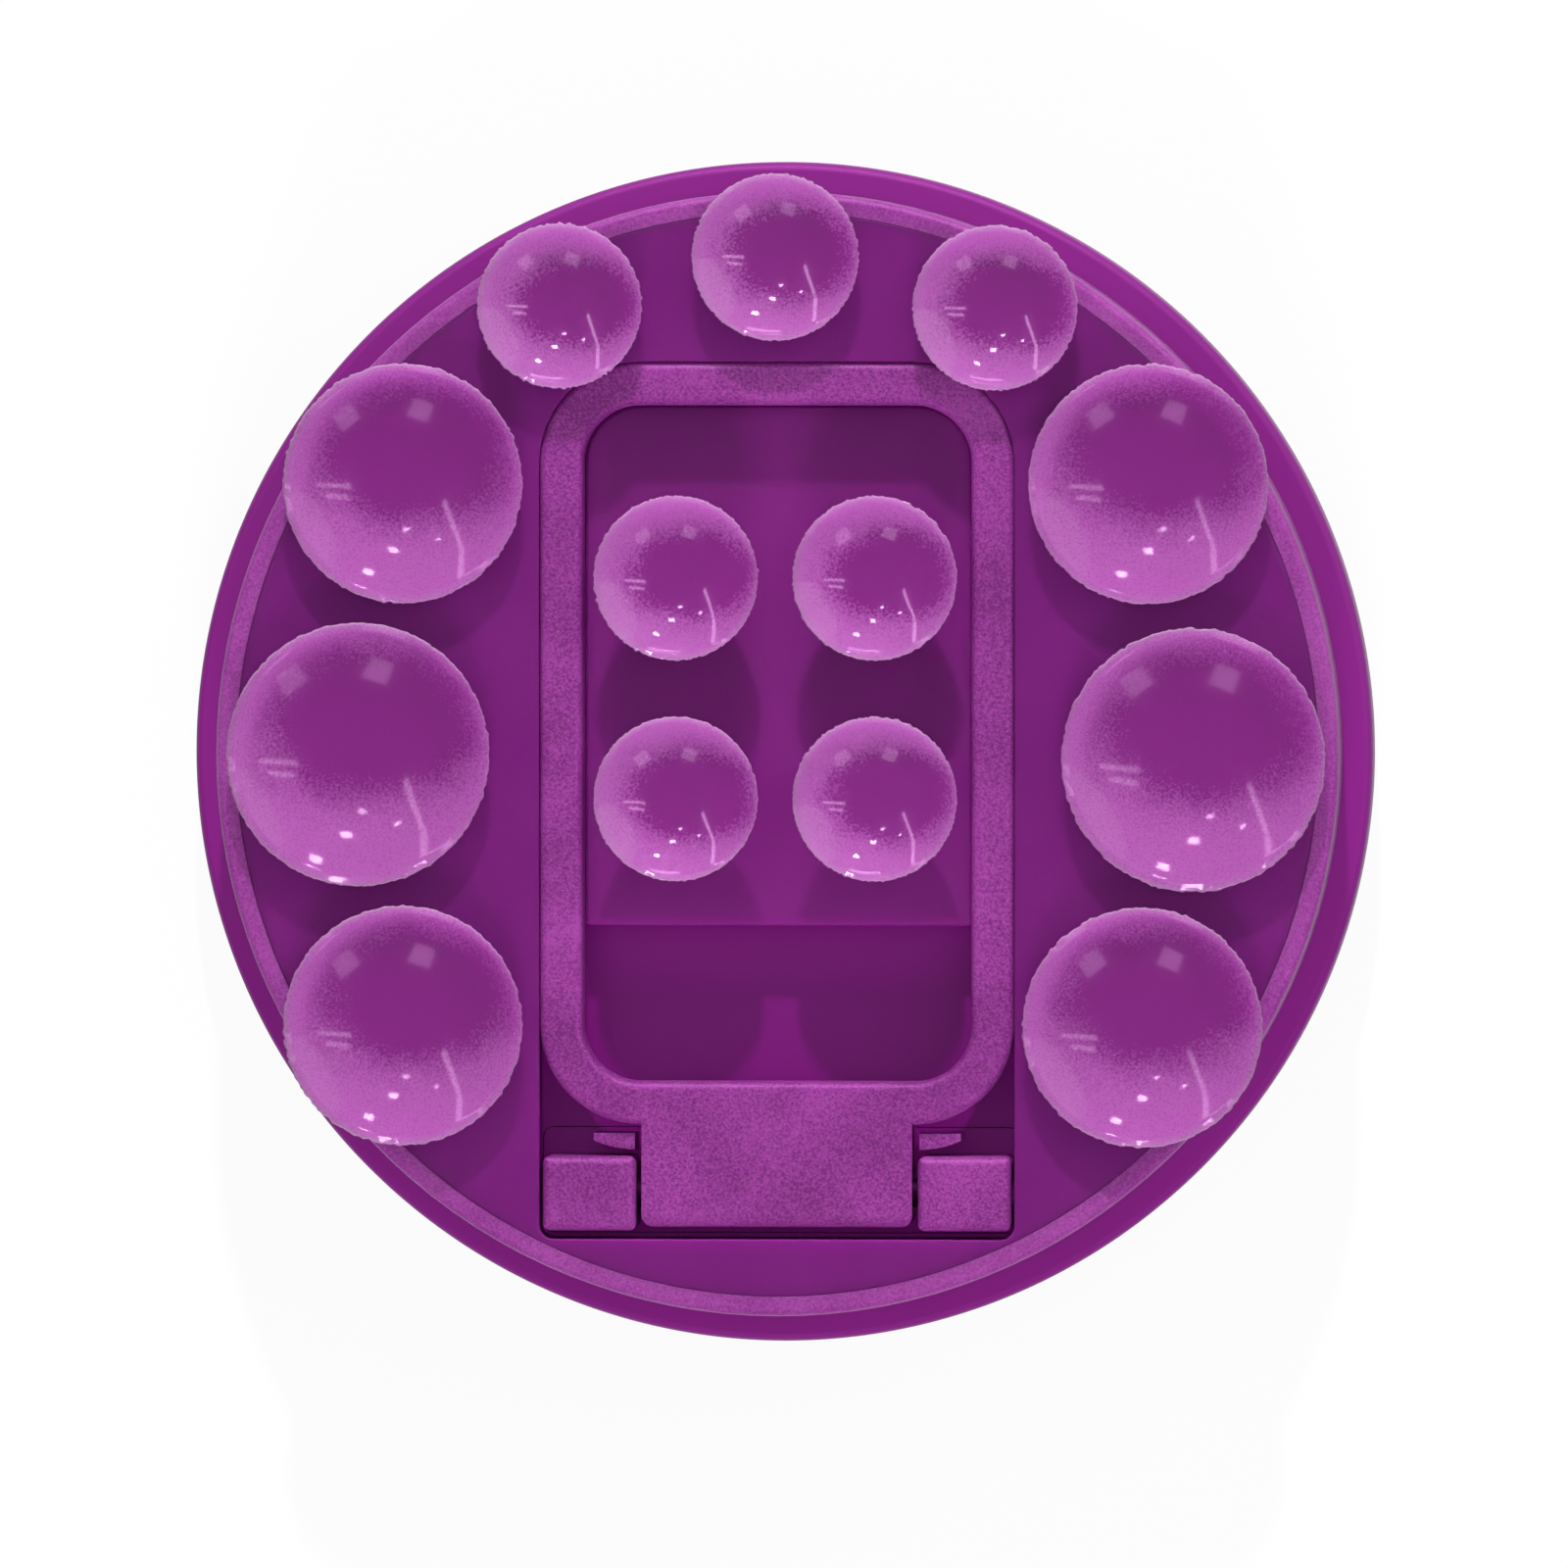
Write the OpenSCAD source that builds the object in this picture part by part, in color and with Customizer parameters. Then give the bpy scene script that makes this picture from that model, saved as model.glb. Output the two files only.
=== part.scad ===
// Round phone holder in two discs that turn on each other, with a fold-out stand.
// The lower disc grips a phone by a ring of magnets. The upper disc carries thirteen
// suction cups around a pocket, and a frame-shaped stand folds out of that pocket.
// Millimetres, +Z up, the magnet face down on the plane z = 0 and centred on the origin.
// The stand's hinge lies on the -Y side and its free end points to +Y.

/* [Magnet disc] */
// Diameter of the magnet disc, the widest piece
disc_d = 66; // [64:0.5:72]
// Thickness of the soft face pad
face_pad_t = 0.8; // [0.6:0.1:1.2]
// How far the face pad stands proud of the housing's edge
face_pad_proud = 0.2; // [0.1:0.05:0.4]
// Width of the housing's edge around the face pad
housing_edge_w = 1.35; // [1:0.05:2]
// Thickness of the housing over the magnets
housing_skin = 0.9; // [0.7:0.1:1.5]
// Rounding of the housing's outer edges
housing_edge_r = 0.5; // [0.2:0.05:0.8]

/* [Magnet ring] */
// Outer diameter of the ring of magnets
magnet_ring_d = 56; // [54:0.5:58]
// Radial width of each magnet
magnet_w = 5; // [3.5:0.25:6]
// Thickness of each magnet
magnet_t = 1.5; // [1:0.1:2.5]
// Number of magnets in the ring
magnet_count = 16; // [12:1:18]
// Gap between neighbouring magnets
magnet_gap = 0.4; // [0.2:0.1:1]
// Thickness of the steel ring behind the magnets
shunt_t = 0.6; // [0.4:0.1:1]

/* [Swivel] */
// Gap between the two discs
disc_gap = 0.3; // [0.2:0.05:0.6]
// Diameter of the hub that the upper disc turns on
hub_d = 10; // [8:0.5:10.5]
// Radial clearance of the hub in its hole
hub_clearance = 0.08; // [0.05:0.01:0.1]
// Thickness of the web that the hub passes through
swivel_web_t = 1.1; // [0.9:0.1:1.3]
// Thickness of the wave washer
wave_washer_t = 0.25; // [0.15:0.05:0.3]
// Radial width of the wave washer
wave_washer_w = 1.3; // [0.8:0.1:1.6]
// Diameter of the retaining plate
retainer_d = 13.6; // [12.8:0.2:14]
// Thickness of the retaining plate
retainer_t = 0.7; // [0.5:0.1:0.8]
// Outer diameter of the glide ring between the discs
glide_d = 26; // [22:1:32]
// Radial width of the glide ring
glide_w = 4; // [2:0.5:5]
// Thickness of the glide ring
glide_t = 0.55; // [0.4:0.05:0.7]
// Axial play of the running faces
running_play = 0.05; // [0.02:0.01:0.1]

/* [Suction disc] */
// Diameter of the upper disc
carrier_d = 62.7; // [61:0.1:63.5]
// Width of the plastic rim around the suction pad
rim_w = 1.1; // [1:0.05:1.3]
// Rounding of the rim's outer edges
rim_edge_r = 0.4; // [0.2:0.05:0.6]
// Thickness of the floor under the hinge
floor_t = 1.8; // [1.6:0.1:2.4]
// Depth of the pocket's deep end, at the hinge
pocket_depth = 4.1; // [4:0.1:5]
// Height of the raised floor under the centre pad, over the deep end
raised_floor_h = 1.1; // [0.9:0.1:1.2]
// Thickness of the outer suction pad
rim_pad_t = 2.4; // [2:0.1:2.6]
// Thickness of the centre suction pad
centre_pad_t = 0.8; // [0.6:0.1:1]
// Gap between the centre pad and the stand around it
centre_pad_gap = 0.25; // [0.2:0.05:0.6]
// Distance of the centre pad's hinge-side edge from the disc's centre
centre_pad_low = 9.5; // [9:0.1:10]

/* [Suction cups] */
// Height of every cup's lip over the outer suction pad
cup_stand = 1.4; // [1.2:0.1:1.8]
// Diameter of the small cups
small_cup_d = 9.1; // [8.4:0.1:9.2]
// Diameter of the medium cups
medium_cup_d = 13.4; // [12.4:0.1:13.6]
// Diameter of the large cups
large_cup_d = 14.8; // [13.6:0.1:15]
// Depth of a small cup's hollow
small_cup_depth = 1.3; // [1:0.1:1.4]
// Depth of a medium or large cup's hollow
large_cup_depth = 1.6; // [1.4:0.1:1.8]
// Width of the lip's flat sealing edge
lip_w = 0.2; // [0.12:0.02:0.3]
// Thickness of a cup's bottom
cup_bottom_t = 0.45; // [0.3:0.05:0.6]
// Distance of the top cup from the disc's centre
top_ring_r = 27.8; // [27.5:0.1:28.3]
// Distance of the cups beside the top cup from the disc's centre
shoulder_ring_r = 28.2; // [28.1:0.1:28.4]
// Angle between the top cup and the cups beside it
shoulder_angle = 25.3; // [24:0.1:26]
// Distance of the medium cups from the disc's centre
medium_ring_r = 25.7; // [25.5:0.1:26.2]
// Angle of the medium cups above and below the large ones
medium_angle = 36; // [35:0.5:38]
// Distance of the large cups from the disc's centre
large_ring_r = 23.3; // [23:0.1:24.5]
// Spacing of the four centre cups across the disc
centre_cup_pitch_x = 11.1; // [10.4:0.1:11.4]
// Spacing of the four centre cups along the disc
centre_cup_pitch_y = 12.3; // [11.6:0.1:12.6]
// Middle of the four centre cups, measured towards the free end of the stand
centre_cup_mid_y = 3.7; // [3:0.1:4.5]
// Diameter of the stems under the centre cups
stem_d = 4; // [3:0.2:5]

/* [Stand] */
// Width of the stand's frame
frame_w = 26.5; // [26:0.1:27]
// Distance of the frame's free end from the disc's centre
frame_top = 21.85; // [21.4:0.05:21.9]
// Distance of the frame's hinge-side bar from the hinge axis
frame_to_axis = 3.85; // [3.6:0.05:4.2]
// Thickness of the frame
frame_t = 2.6; // [2.2:0.1:2.7]
// Width of the frame's bars
bar_w = 2.4; // [2.2:0.05:2.7]
// Radius of the frame's outer corners
frame_corner_r = 5.6; // [5:0.1:6.4]
// Rounding along the bars' edges
bar_edge_r = 0.46; // [0.2:0.02:0.6]
// Gap between the frame and the pocket around it
pocket_gap = 0.2; // [0.15:0.05:0.5]

/* [Hinge] */
// Width of the suction pad left at the pocket's hinge-side corners
pocket_web_w = 0.31; // [0.2:0.01:0.6]
// Half height of the knuckle around the hinge axis
knuckle_r = 1.9; // [1.7:0.05:2]
// Share of the frame's width that the knuckle takes
knuckle_w_share = 0.57; // [0.5:0.002:0.6]
// Rounding of the knuckle's back edge
knuckle_back_r = 0.7; // [0.65:0.05:1.4]
// Rounding of the knuckle's corners, seen from above
knuckle_corner_r = 0.7; // [0.3:0.05:1]
// Gap between the knuckle and each ear
ear_gap = 0.3; // [0.2:0.05:0.5]
// How far each ear's outer end stays within the frame's width
ear_inset = 0.15; // [0:0.05:0.5]
// Length of each ear across the axis
ear_l = 4.2; // [3.8:0.1:4.4]
// Rounding of the ears' edges
ear_edge_r = 0.5; // [0.3:0.05:0.7]
// Gap between the hinge axis and the pocket's end wall
axis_to_wall = 2.55; // [2.4:0.05:2.7]
// Thickness of the bracket's plate under the ears
bracket_t = 0.8; // [0.6:0.05:0.9]
// Diameter of the hinge pin
pin_d = 1.6; // [1.2:0.1:1.8]
// Radial clearance between the pin and its friction sleeves
pin_clearance = 0.02; // [0.01:0.01:0.05]
// Wall of the friction sleeves
sleeve_wall = 0.45; // [0.3:0.05:0.5]
// Length of each friction sleeve
sleeve_l = 5.4; // [3:0.2:6]
// Width of the slot along each sleeve
sleeve_slot_w = 0.4; // [0.2:0.1:0.8]
// Width of each stop lug beside the knuckle
lug_w = 2.3; // [1.6:0.1:2.6]
// Length of each stop lug across the axis
lug_l = 0.9; // [0.7:0.05:1]
// Height of the stop lugs over the hinge axis
lug_rise = 1.4; // [1:0.1:1.5]

/* [Screws] */
// Diameter of the screws' threads
screw_d = 1.4; // [1:0.1:1.6]
// Diameter of the screws' heads
screw_head_d = 2.5; // [2:0.1:2.8]
// Height of the screws' heads
screw_head_h = 0.5; // [0.3:0.05:0.5]
// Length of the swivel screws' threads
swivel_screw_l = 2.8; // [2:0.1:3]
// Number of swivel screws
swivel_screw_count = 3; // [3:1:4]
// Diameter of the circle on which the swivel screws stand
swivel_screw_circle_d = 6; // [5:0.1:6.4]

/* [Hidden] */
$fn = 72;

// Colours of the materials
plastic_color = "#953C95";
silicone_color = "#822A82";
housing_color = "#7E247C";
face_color = "#4A4450";
steel_color = "silver";
magnet_color = "#C9C9CE";
acetal_color = "#E9E6DD";

// Overrun of every cut, and the seat gap of pieces that are glued or pressed in
cut_over = 0.6;
seat_gap = 0.05;

// Levels of the magnet disc
magnet_z = face_pad_t;
shunt_z = magnet_z + magnet_t;
housing_top = shunt_z + shunt_t + housing_skin;
disc_r = disc_d / 2;
face_pad_r = disc_r - housing_edge_w;
magnet_ring_r = magnet_ring_d / 2;
magnet_angle = 360 / magnet_count;

// Levels of the suction disc
carrier_bottom = housing_top + disc_gap;
floor_z = carrier_bottom + floor_t;
raised_floor_z = floor_z + raised_floor_h;
top_z = floor_z + pocket_depth;
tray_z = top_z - rim_pad_t;
lip_z = top_z + cup_stand;
carrier_r = carrier_d / 2;
tray_r = carrier_r - rim_w;

// Levels of the swivel, built up from the carrier's web
glide_z = carrier_bottom - running_play - glide_t;
glide_r = glide_d / 2;
hub_r = hub_d / 2;
web_top = carrier_bottom + swivel_web_t;
wave_washer_z = web_top + running_play;
hub_top = wave_washer_z + wave_washer_t;
retainer_r = retainer_d / 2;
recess_margin = 0.7;
wave_washer_gap = 0.15;

// The pocket and the frame in it
frame_half = frame_w / 2;
frame_z = top_z - frame_t;
pocket_half = frame_half + pocket_gap;
pocket_top = frame_top + pocket_gap;
pocket_corner_r = 0.8;
pocket_end_r = frame_corner_r + pocket_gap;
pocket_corner_reach = tray_r - pocket_web_w - pocket_corner_r;
pocket_low = pocket_corner_r + sqrt(pow(pocket_corner_reach, 2) - pow(pocket_half - pocket_corner_r, 2));
axis_low = pocket_low - axis_to_wall;
frame_low = axis_low - frame_to_axis;
opening_half = frame_half - bar_w;
opening_corner_r = frame_corner_r - bar_w;

// The rib under the free end that the folded stand rests on
rest_rib_w = 1;
rest_rib_l = 12;
rest_play = 0.05;

// The centre pad
centre_pad_half = opening_half - centre_pad_gap;
centre_pad_top = frame_top - bar_w - centre_pad_gap;
centre_pad_corner_r = opening_corner_r - centre_pad_gap;

// Cores on the underside of the carrier and the ribs between them
core_wall = 1.2;
core_z = tray_z - core_wall;
rib_w = 0.9;
rib_pitch = 8.4;
rib_steps = 2;

// The knuckle, the ears and the pin
axis_z = top_z - knuckle_r;
knuckle_w = frame_w * knuckle_w_share;
knuckle_half = knuckle_w / 2;
ear_inner = knuckle_half + ear_gap;
ear_outer = frame_half - ear_inset;
ear_w = ear_outer - ear_inner;
ear_mid = (ear_inner + ear_outer) / 2;
pin_r = pin_d / 2;
pin_end_gap = 0.2;
press_gap = 0.02;
knuckle_bore_clearance = 0.08;
web_reach = frame_to_axis + bar_w / 2;

// The friction sleeves
sleeve_in_r = pin_r + pin_clearance;
sleeve_out_r = sleeve_in_r + sleeve_wall;
sleeve_inset = 0.1;

// The stop lugs
lug_to_knuckle = 0.4;
lug_to_bar = 0.5;
lug_end_l = 0.4;
lug_inner = knuckle_half + lug_to_knuckle;
lug_near = frame_low + lug_to_bar;

// The bracket's plate
bracket_z = floor_z - bracket_t;
bracket_margin = 0.2;
bracket_low = axis_low + ear_l / 2 + bracket_margin;
bracket_high = lug_near - bracket_margin;
bracket_corner_r = 0.6;

// The screws
screw_r = screw_d / 2;
screw_head_r = screw_head_d / 2;
head_clearance = 0.1;
pilot_margin = 0.2;
bracket_screw_sink = 0.1;
bracket_screw_to_pin = 0.4;
bracket_screw_z = carrier_bottom + bracket_screw_sink + screw_head_h;
bracket_screw_l = axis_z - pin_r - bracket_screw_to_pin - bracket_screw_z;

// Places of the cups on the outer pad: distance from the centre, angle, diameter, depth
RIM_CUPS = concat(
    [[top_ring_r, 90, small_cup_d, small_cup_depth]],
    [for (side = [-1, 1]) [shoulder_ring_r, 90 + side * shoulder_angle, small_cup_d, small_cup_depth]],
    [for (a = [medium_angle, 180 - medium_angle]) [medium_ring_r, a, medium_cup_d, large_cup_depth]],
    [for (a = [-medium_angle, medium_angle - 180]) [medium_ring_r, a, medium_cup_d, large_cup_depth]],
    [for (a = [0, 180]) [large_ring_r, a, large_cup_d, large_cup_depth]]
);

// Share of a cup's radius that its flat bottom takes
cup_bottom_share = 0.34;

// Radius of the arc that rises by depth over the run dx and starts level
function bowl_r(dx, depth) = (dx * dx + depth * depth) / (2 * depth);

// Rectangle from y_low to y_high, x_half to each side, with corners of radius r
module rounded_rect(x_half, y_low, y_high, r) {
    translate([r - x_half, y_low]) square([2 * (x_half - r), y_high - y_low]);
    translate([-x_half, y_low + r]) square([2 * x_half, y_high - y_low - 2 * r]);
    for (x = [r - x_half, x_half - r], y = [y_low + r, y_high - r]) {
        translate([x, y]) circle(r);
    }
}

// Half section of a round disc with rounded outer edges, to be revolved
module disc_section(r, z_low, z_high, edge_r) {
    translate([0, z_low]) square([r - edge_r, z_high - z_low]);
    translate([0, z_low + edge_r]) square([r, z_high - z_low - 2 * edge_r]);
    for (z = [z_low + edge_r, z_high - edge_r]) {
        translate([r - edge_r, z]) circle(edge_r);
    }
}

// Flat ring with its lower face at z = 0
module ring(r_in, r_out, t) {
    rotate_extrude() translate([r_in, 0]) square([r_out - r_in, t]);
}

// Outline of the pocket that the stand folds into, grown by grow: it follows the stand's free end
module pocket_outline(grow) {
    rounded_rect(pocket_half + grow, -pocket_low - grow, 0, pocket_corner_r + grow);
    rounded_rect(pocket_half + grow, -2 * pocket_end_r, pocket_top + grow, pocket_end_r + grow);
}

// Pan-head screw, its head on the plane z = 0 and its thread below
module screw(length) {
    cylinder(r = screw_head_r, h = screw_head_h);
    translate([0, 0, -length]) cylinder(r = screw_r, h = length);
}

// Places its children at each swivel screw
module at_swivel_screws() {
    for (i = [0:swivel_screw_count - 1]) {
        rotate([0, 0, 90 + i * 360 / swivel_screw_count]) translate([swivel_screw_circle_d / 2, 0, 0]) children();
    }
}

// Bowl section: a flat bottom of radius flat_r, then an arc that rises by depth to the lip
module bowl_section(r, flat_r, depth, height) {
    arc_r = bowl_r(r - flat_r, depth);
    intersection() {
        union() {
            square([flat_r, height]);
            translate([flat_r, arc_r]) circle(arc_r);
        }
        square([2 * r, height]);
    }
}

// Outside of one suction cup, its lip on the plane z = 0
module cup_body(d, depth) {
    body_h = depth + cup_bottom_t;
    translate([0, 0, -body_h]) rotate_extrude() bowl_section(d / 2, d / 2 * cup_bottom_share, body_h, body_h);
}

// Hollow of one suction cup, its lip on the plane z = 0
module cup_hollow(d, depth) {
    translate([0, 0, -depth]) rotate_extrude() {
        bowl_section(d / 2 - lip_w, d / 2 * cup_bottom_share, depth, depth + cut_over);
    }
}

// Places its children at a cup of the outer pad, on the lips' plane
module at_rim_cup(c) {
    translate([c[0] * cos(c[1]), c[0] * sin(c[1]), lip_z]) children();
}

// Places its children at each cup of the centre pad, on the lips' plane
module at_centre_cups() {
    for (x = [-1, 1], y = [-1, 1]) {
        translate([x * centre_cup_pitch_x / 2, centre_cup_mid_y + y * centre_cup_pitch_y / 2, lip_z]) children();
    }
}

// The soft face that lies on the phone
module face_pad() {
    color(face_color) cylinder(r = face_pad_r - seat_gap, h = face_pad_t);
}

// The lower disc's housing, with a channel for the magnets and a hub on top
module magnet_housing() {
    color(housing_color) difference() {
        union() {
            rotate_extrude() disc_section(disc_r, face_pad_proud, housing_top, housing_edge_r);
            cylinder(r = hub_r, h = hub_top);
        }
        translate([0, 0, -cut_over]) cylinder(r = face_pad_r, h = face_pad_t + cut_over);
        translate([0, 0, magnet_z - cut_over]) {
            ring(magnet_ring_r - magnet_w - seat_gap, magnet_ring_r + seat_gap, magnet_t + shunt_t + cut_over);
        }
        translate([0, 0, glide_z]) {
            ring(glide_r - glide_w - seat_gap, glide_r + seat_gap, glide_t + cut_over);
        }
        translate([0, 0, hub_top - swivel_screw_l - pilot_margin]) {
            at_swivel_screws() cylinder(r = screw_r, h = swivel_screw_l + pilot_margin + cut_over);
        }
    }
}

// Steel ring that closes the magnets' field on the far side from the phone
module shunt_ring() {
    color(steel_color) translate([0, 0, shunt_z]) ring(magnet_ring_r - magnet_w, magnet_ring_r, shunt_t);
}

// One arc-shaped magnet of the ring, counted from the +Y side
module magnet(i) {
    half_gap_angle = magnet_gap / 2 / (magnet_ring_r - magnet_w) * 180 / PI;
    color(magnet_color) translate([0, 0, magnet_z]) {
        rotate([0, 0, 90 + (i - 1.5) * magnet_angle + half_gap_angle]) {
            rotate_extrude(angle = magnet_angle - 2 * half_gap_angle) {
                translate([magnet_ring_r - magnet_w, 0]) square([magnet_w, magnet_t]);
            }
        }
    }
}

// Slippery ring that keeps the two discs apart
module glide_ring() {
    color(acetal_color) translate([0, 0, glide_z]) ring(glide_r - glide_w, glide_r, glide_t);
}

// Spring washer that gives the swivel its drag, drawn pressed flat
module wave_washer() {
    washer_in_r = hub_r + wave_washer_gap;
    color(steel_color) translate([0, 0, wave_washer_z]) {
        ring(washer_in_r, washer_in_r + wave_washer_w, wave_washer_t);
    }
}

// Plate on top of the hub that holds the upper disc down
module swivel_retainer() {
    color(steel_color) translate([0, 0, hub_top]) difference() {
        cylinder(r = retainer_r, h = retainer_t);
        translate([0, 0, -cut_over]) at_swivel_screws() {
            cylinder(r = screw_r + head_clearance, h = retainer_t + 2 * cut_over);
        }
    }
}

// Screws that fasten the retaining plate to the hub
module swivel_screws() {
    color(steel_color) translate([0, 0, hub_top + retainer_t]) at_swivel_screws() screw(swivel_screw_l);
}

// Cores under the tray on both sides of the pocket, parted by ribs
module carrier_cores() {
    core_r = carrier_r - core_wall;
    core_inner = pocket_half + core_wall;
    for (side = [0, 1]) mirror([side, 0, 0]) {
        linear_extrude(core_z - carrier_bottom + cut_over) difference() {
            intersection() {
                circle(core_r);
                translate([core_inner, -core_r]) square([core_r, 2 * core_r]);
            }
            for (k = [-rib_steps:rib_steps]) {
                translate([0, k * rib_pitch - rib_w / 2]) square([core_r, rib_w]);
            }
        }
    }
}

// Space that the stand folds into: a deep end at the hinge, a raised floor under the rest
module pocket_space() {
    difference() {
        translate([0, 0, floor_z]) linear_extrude(tray_z - floor_z + cut_over) pocket_outline(0);
        translate([-pocket_half - cut_over, -centre_pad_low, floor_z - cut_over]) {
            cube([2 * (pocket_half + cut_over), centre_pad_low + pocket_top + cut_over, raised_floor_h + cut_over]);
        }
        translate([-rest_rib_l / 2, frame_top - (bar_w + rest_rib_w) / 2, floor_z]) {
            cube([rest_rib_l, rest_rib_w, frame_z - floor_z - rest_play]);
        }
    }
}

// The upper disc's plastic body: a rim, a tray for the outer pad and the stand's pocket
module carrier() {
    color(plastic_color) difference() {
        rotate_extrude() disc_section(carrier_r, carrier_bottom, top_z, rim_edge_r);
        translate([0, 0, tray_z]) cylinder(r = tray_r, h = rim_pad_t + cut_over);
        pocket_space();
        translate([0, 0, web_top]) cylinder(r = retainer_r + recess_margin, h = pocket_depth);
        translate([0, 0, carrier_bottom - cut_over]) {
            cylinder(r = hub_r + hub_clearance, h = swivel_web_t + 2 * cut_over);
            carrier_cores();
        }
        translate([0, 0, bracket_z]) linear_extrude(bracket_t + cut_over) bracket_outline(seat_gap);
        for (side = [-1, 1]) translate([side * ear_mid, -axis_low, bracket_screw_z]) {
            cylinder(r = screw_r + head_clearance, h = floor_t);
            mirror([0, 0, 1]) cylinder(r = screw_head_r + head_clearance, h = screw_head_h + bracket_screw_sink + cut_over);
        }
    }
}

// The outer suction pad with the nine cups that are moulded on it, which lie on the rim where they reach over it
module rim_pad() {
    color(silicone_color) difference() {
        union() {
            difference() {
                translate([0, 0, tray_z]) cylinder(r = tray_r - seat_gap, h = rim_pad_t);
                translate([0, 0, tray_z - cut_over]) linear_extrude(rim_pad_t + 2 * cut_over) pocket_outline(0);
            }
            for (c = RIM_CUPS) at_rim_cup(c) cup_body(c[2], c[3]);
        }
        for (c = RIM_CUPS) at_rim_cup(c) cup_hollow(c[2], c[3]);
        translate([0, 0, tray_z]) ring(tray_r - seat_gap, disc_r + cut_over, top_z - tray_z);
    }
}

// The centre suction pad with its four cups on stems
module centre_pad() {
    color(silicone_color) difference() {
        union() {
            translate([0, 0, raised_floor_z]) linear_extrude(centre_pad_t) {
                rounded_rect(centre_pad_half, -centre_pad_low, centre_pad_top, centre_pad_corner_r);
                translate([-centre_pad_half, -centre_pad_low]) {
                    square([2 * centre_pad_half, centre_pad_low]);
                }
            }
            at_centre_cups() {
                cup_body(small_cup_d, small_cup_depth);
                mirror([0, 0, 1]) cylinder(d = stem_d, h = lip_z - raised_floor_z - centre_pad_t / 2);
            }
        }
        at_centre_cups() cup_hollow(small_cup_d, small_cup_depth);
    }
}

// Outline of the hinge bracket's plate, grown by grow
module bracket_outline(grow) {
    rounded_rect(
        ear_outer + bracket_margin + grow, -bracket_low - grow, -bracket_high + grow, bracket_corner_r + grow
    );
}

// The ear on the +X side, a block with all its edges rounded
module ear() {
    translate([ear_mid, -axis_low, 0]) intersection() {
        translate([0, 0, bracket_z]) linear_extrude(top_z - bracket_z) {
            rounded_rect(ear_w / 2, -ear_l / 2, ear_l / 2, ear_edge_r);
        }
        rotate([90, 0, 90]) linear_extrude(ear_w, center = true) {
            rounded_rect(ear_l / 2, bracket_z, top_z, ear_edge_r);
        }
        rotate([90, 0, 0]) linear_extrude(ear_l, center = true) {
            rounded_rect(ear_w / 2, bracket_z, top_z, ear_edge_r);
        }
    }
}

// The stop lug on the +X side: straight towards the frame, curved towards the ear
module stop_lug() {
    arc_r = bowl_r(lug_w, lug_l - lug_end_l);
    translate([lug_inner, -lug_near, bracket_z]) linear_extrude(axis_z + lug_rise - bracket_z) intersection() {
        translate([0, -lug_l]) square([lug_w, lug_l]);
        translate([0, arc_r - lug_l]) circle(arc_r);
    }
}

// Bracket that holds the hinge pin in two ears
module hinge_bracket() {
    color(plastic_color) difference() {
        union() {
            translate([0, 0, bracket_z]) linear_extrude(bracket_t) bracket_outline(0);
            for (side = [0, 1]) mirror([side, 0, 0]) {
                ear();
                stop_lug();
            }
        }
        translate([0, -axis_low, axis_z]) rotate([0, 90, 0]) {
            cylinder(r = pin_r + press_gap, h = 2 * (ear_outer + cut_over), center = true);
        }
        for (side = [-1, 1]) translate([side * ear_mid, -axis_low, bracket_screw_z]) {
            cylinder(r = screw_r + press_gap, h = bracket_screw_l + press_gap);
        }
    }
}

// Screws that fasten the bracket from under the carrier
module bracket_screws() {
    color(steel_color) for (side = [-1, 1]) {
        translate([side * ear_mid, -axis_low, bracket_screw_z]) mirror([0, 0, 1]) screw(bracket_screw_l);
    }
}

// Steel pin on the hinge axis
module hinge_pin() {
    color(steel_color) translate([0, -axis_low, axis_z]) rotate([0, 90, 0]) {
        cylinder(r = pin_r, h = 2 * (ear_outer - pin_end_gap), center = true);
    }
}

// Section of the frame's bars, rounded on all four edges
module bar_section() {
    translate([bar_w / 2, 0]) rounded_rect(bar_w / 2, 0, frame_t, bar_edge_r);
}

// The frame without its knuckle: four bars and the four bends between them
module frame_loop() {
    straight_x = frame_w - 2 * frame_corner_r;
    straight_y = frame_top + frame_low - 2 * frame_corner_r;
    for (side = [0, 1]) mirror([side, 0, 0]) {
        translate([opening_half, frame_top - frame_corner_r, 0]) {
            rotate([90, 0, 0]) linear_extrude(straight_y) bar_section();
        }
        translate([frame_half - frame_corner_r, frame_top - frame_corner_r, 0]) {
            rotate_extrude(angle = 90) translate([opening_corner_r, 0]) bar_section();
        }
        translate([frame_half - frame_corner_r, frame_corner_r - frame_low, 0]) mirror([0, 1, 0]) {
            rotate_extrude(angle = 90) translate([opening_corner_r, 0]) bar_section();
        }
    }
    for (y = [frame_top - bar_w, -frame_low]) translate([-straight_x / 2, y, 0]) {
        rotate([90, 0, 90]) linear_extrude(straight_x) bar_section();
    }
}

// Section of the knuckle about the hinge axis, with the web that joins it to the frame
module knuckle_section() {
    circle(knuckle_r);
    translate([knuckle_back_r - knuckle_r, 0]) square([knuckle_r - knuckle_back_r, knuckle_r]);
    translate([-knuckle_r, 0]) square([knuckle_r, knuckle_r - knuckle_back_r]);
    translate([knuckle_back_r - knuckle_r, knuckle_r - knuckle_back_r]) circle(knuckle_back_r);
    translate([0, knuckle_r - frame_t]) square([web_reach, frame_t]);
}

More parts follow.
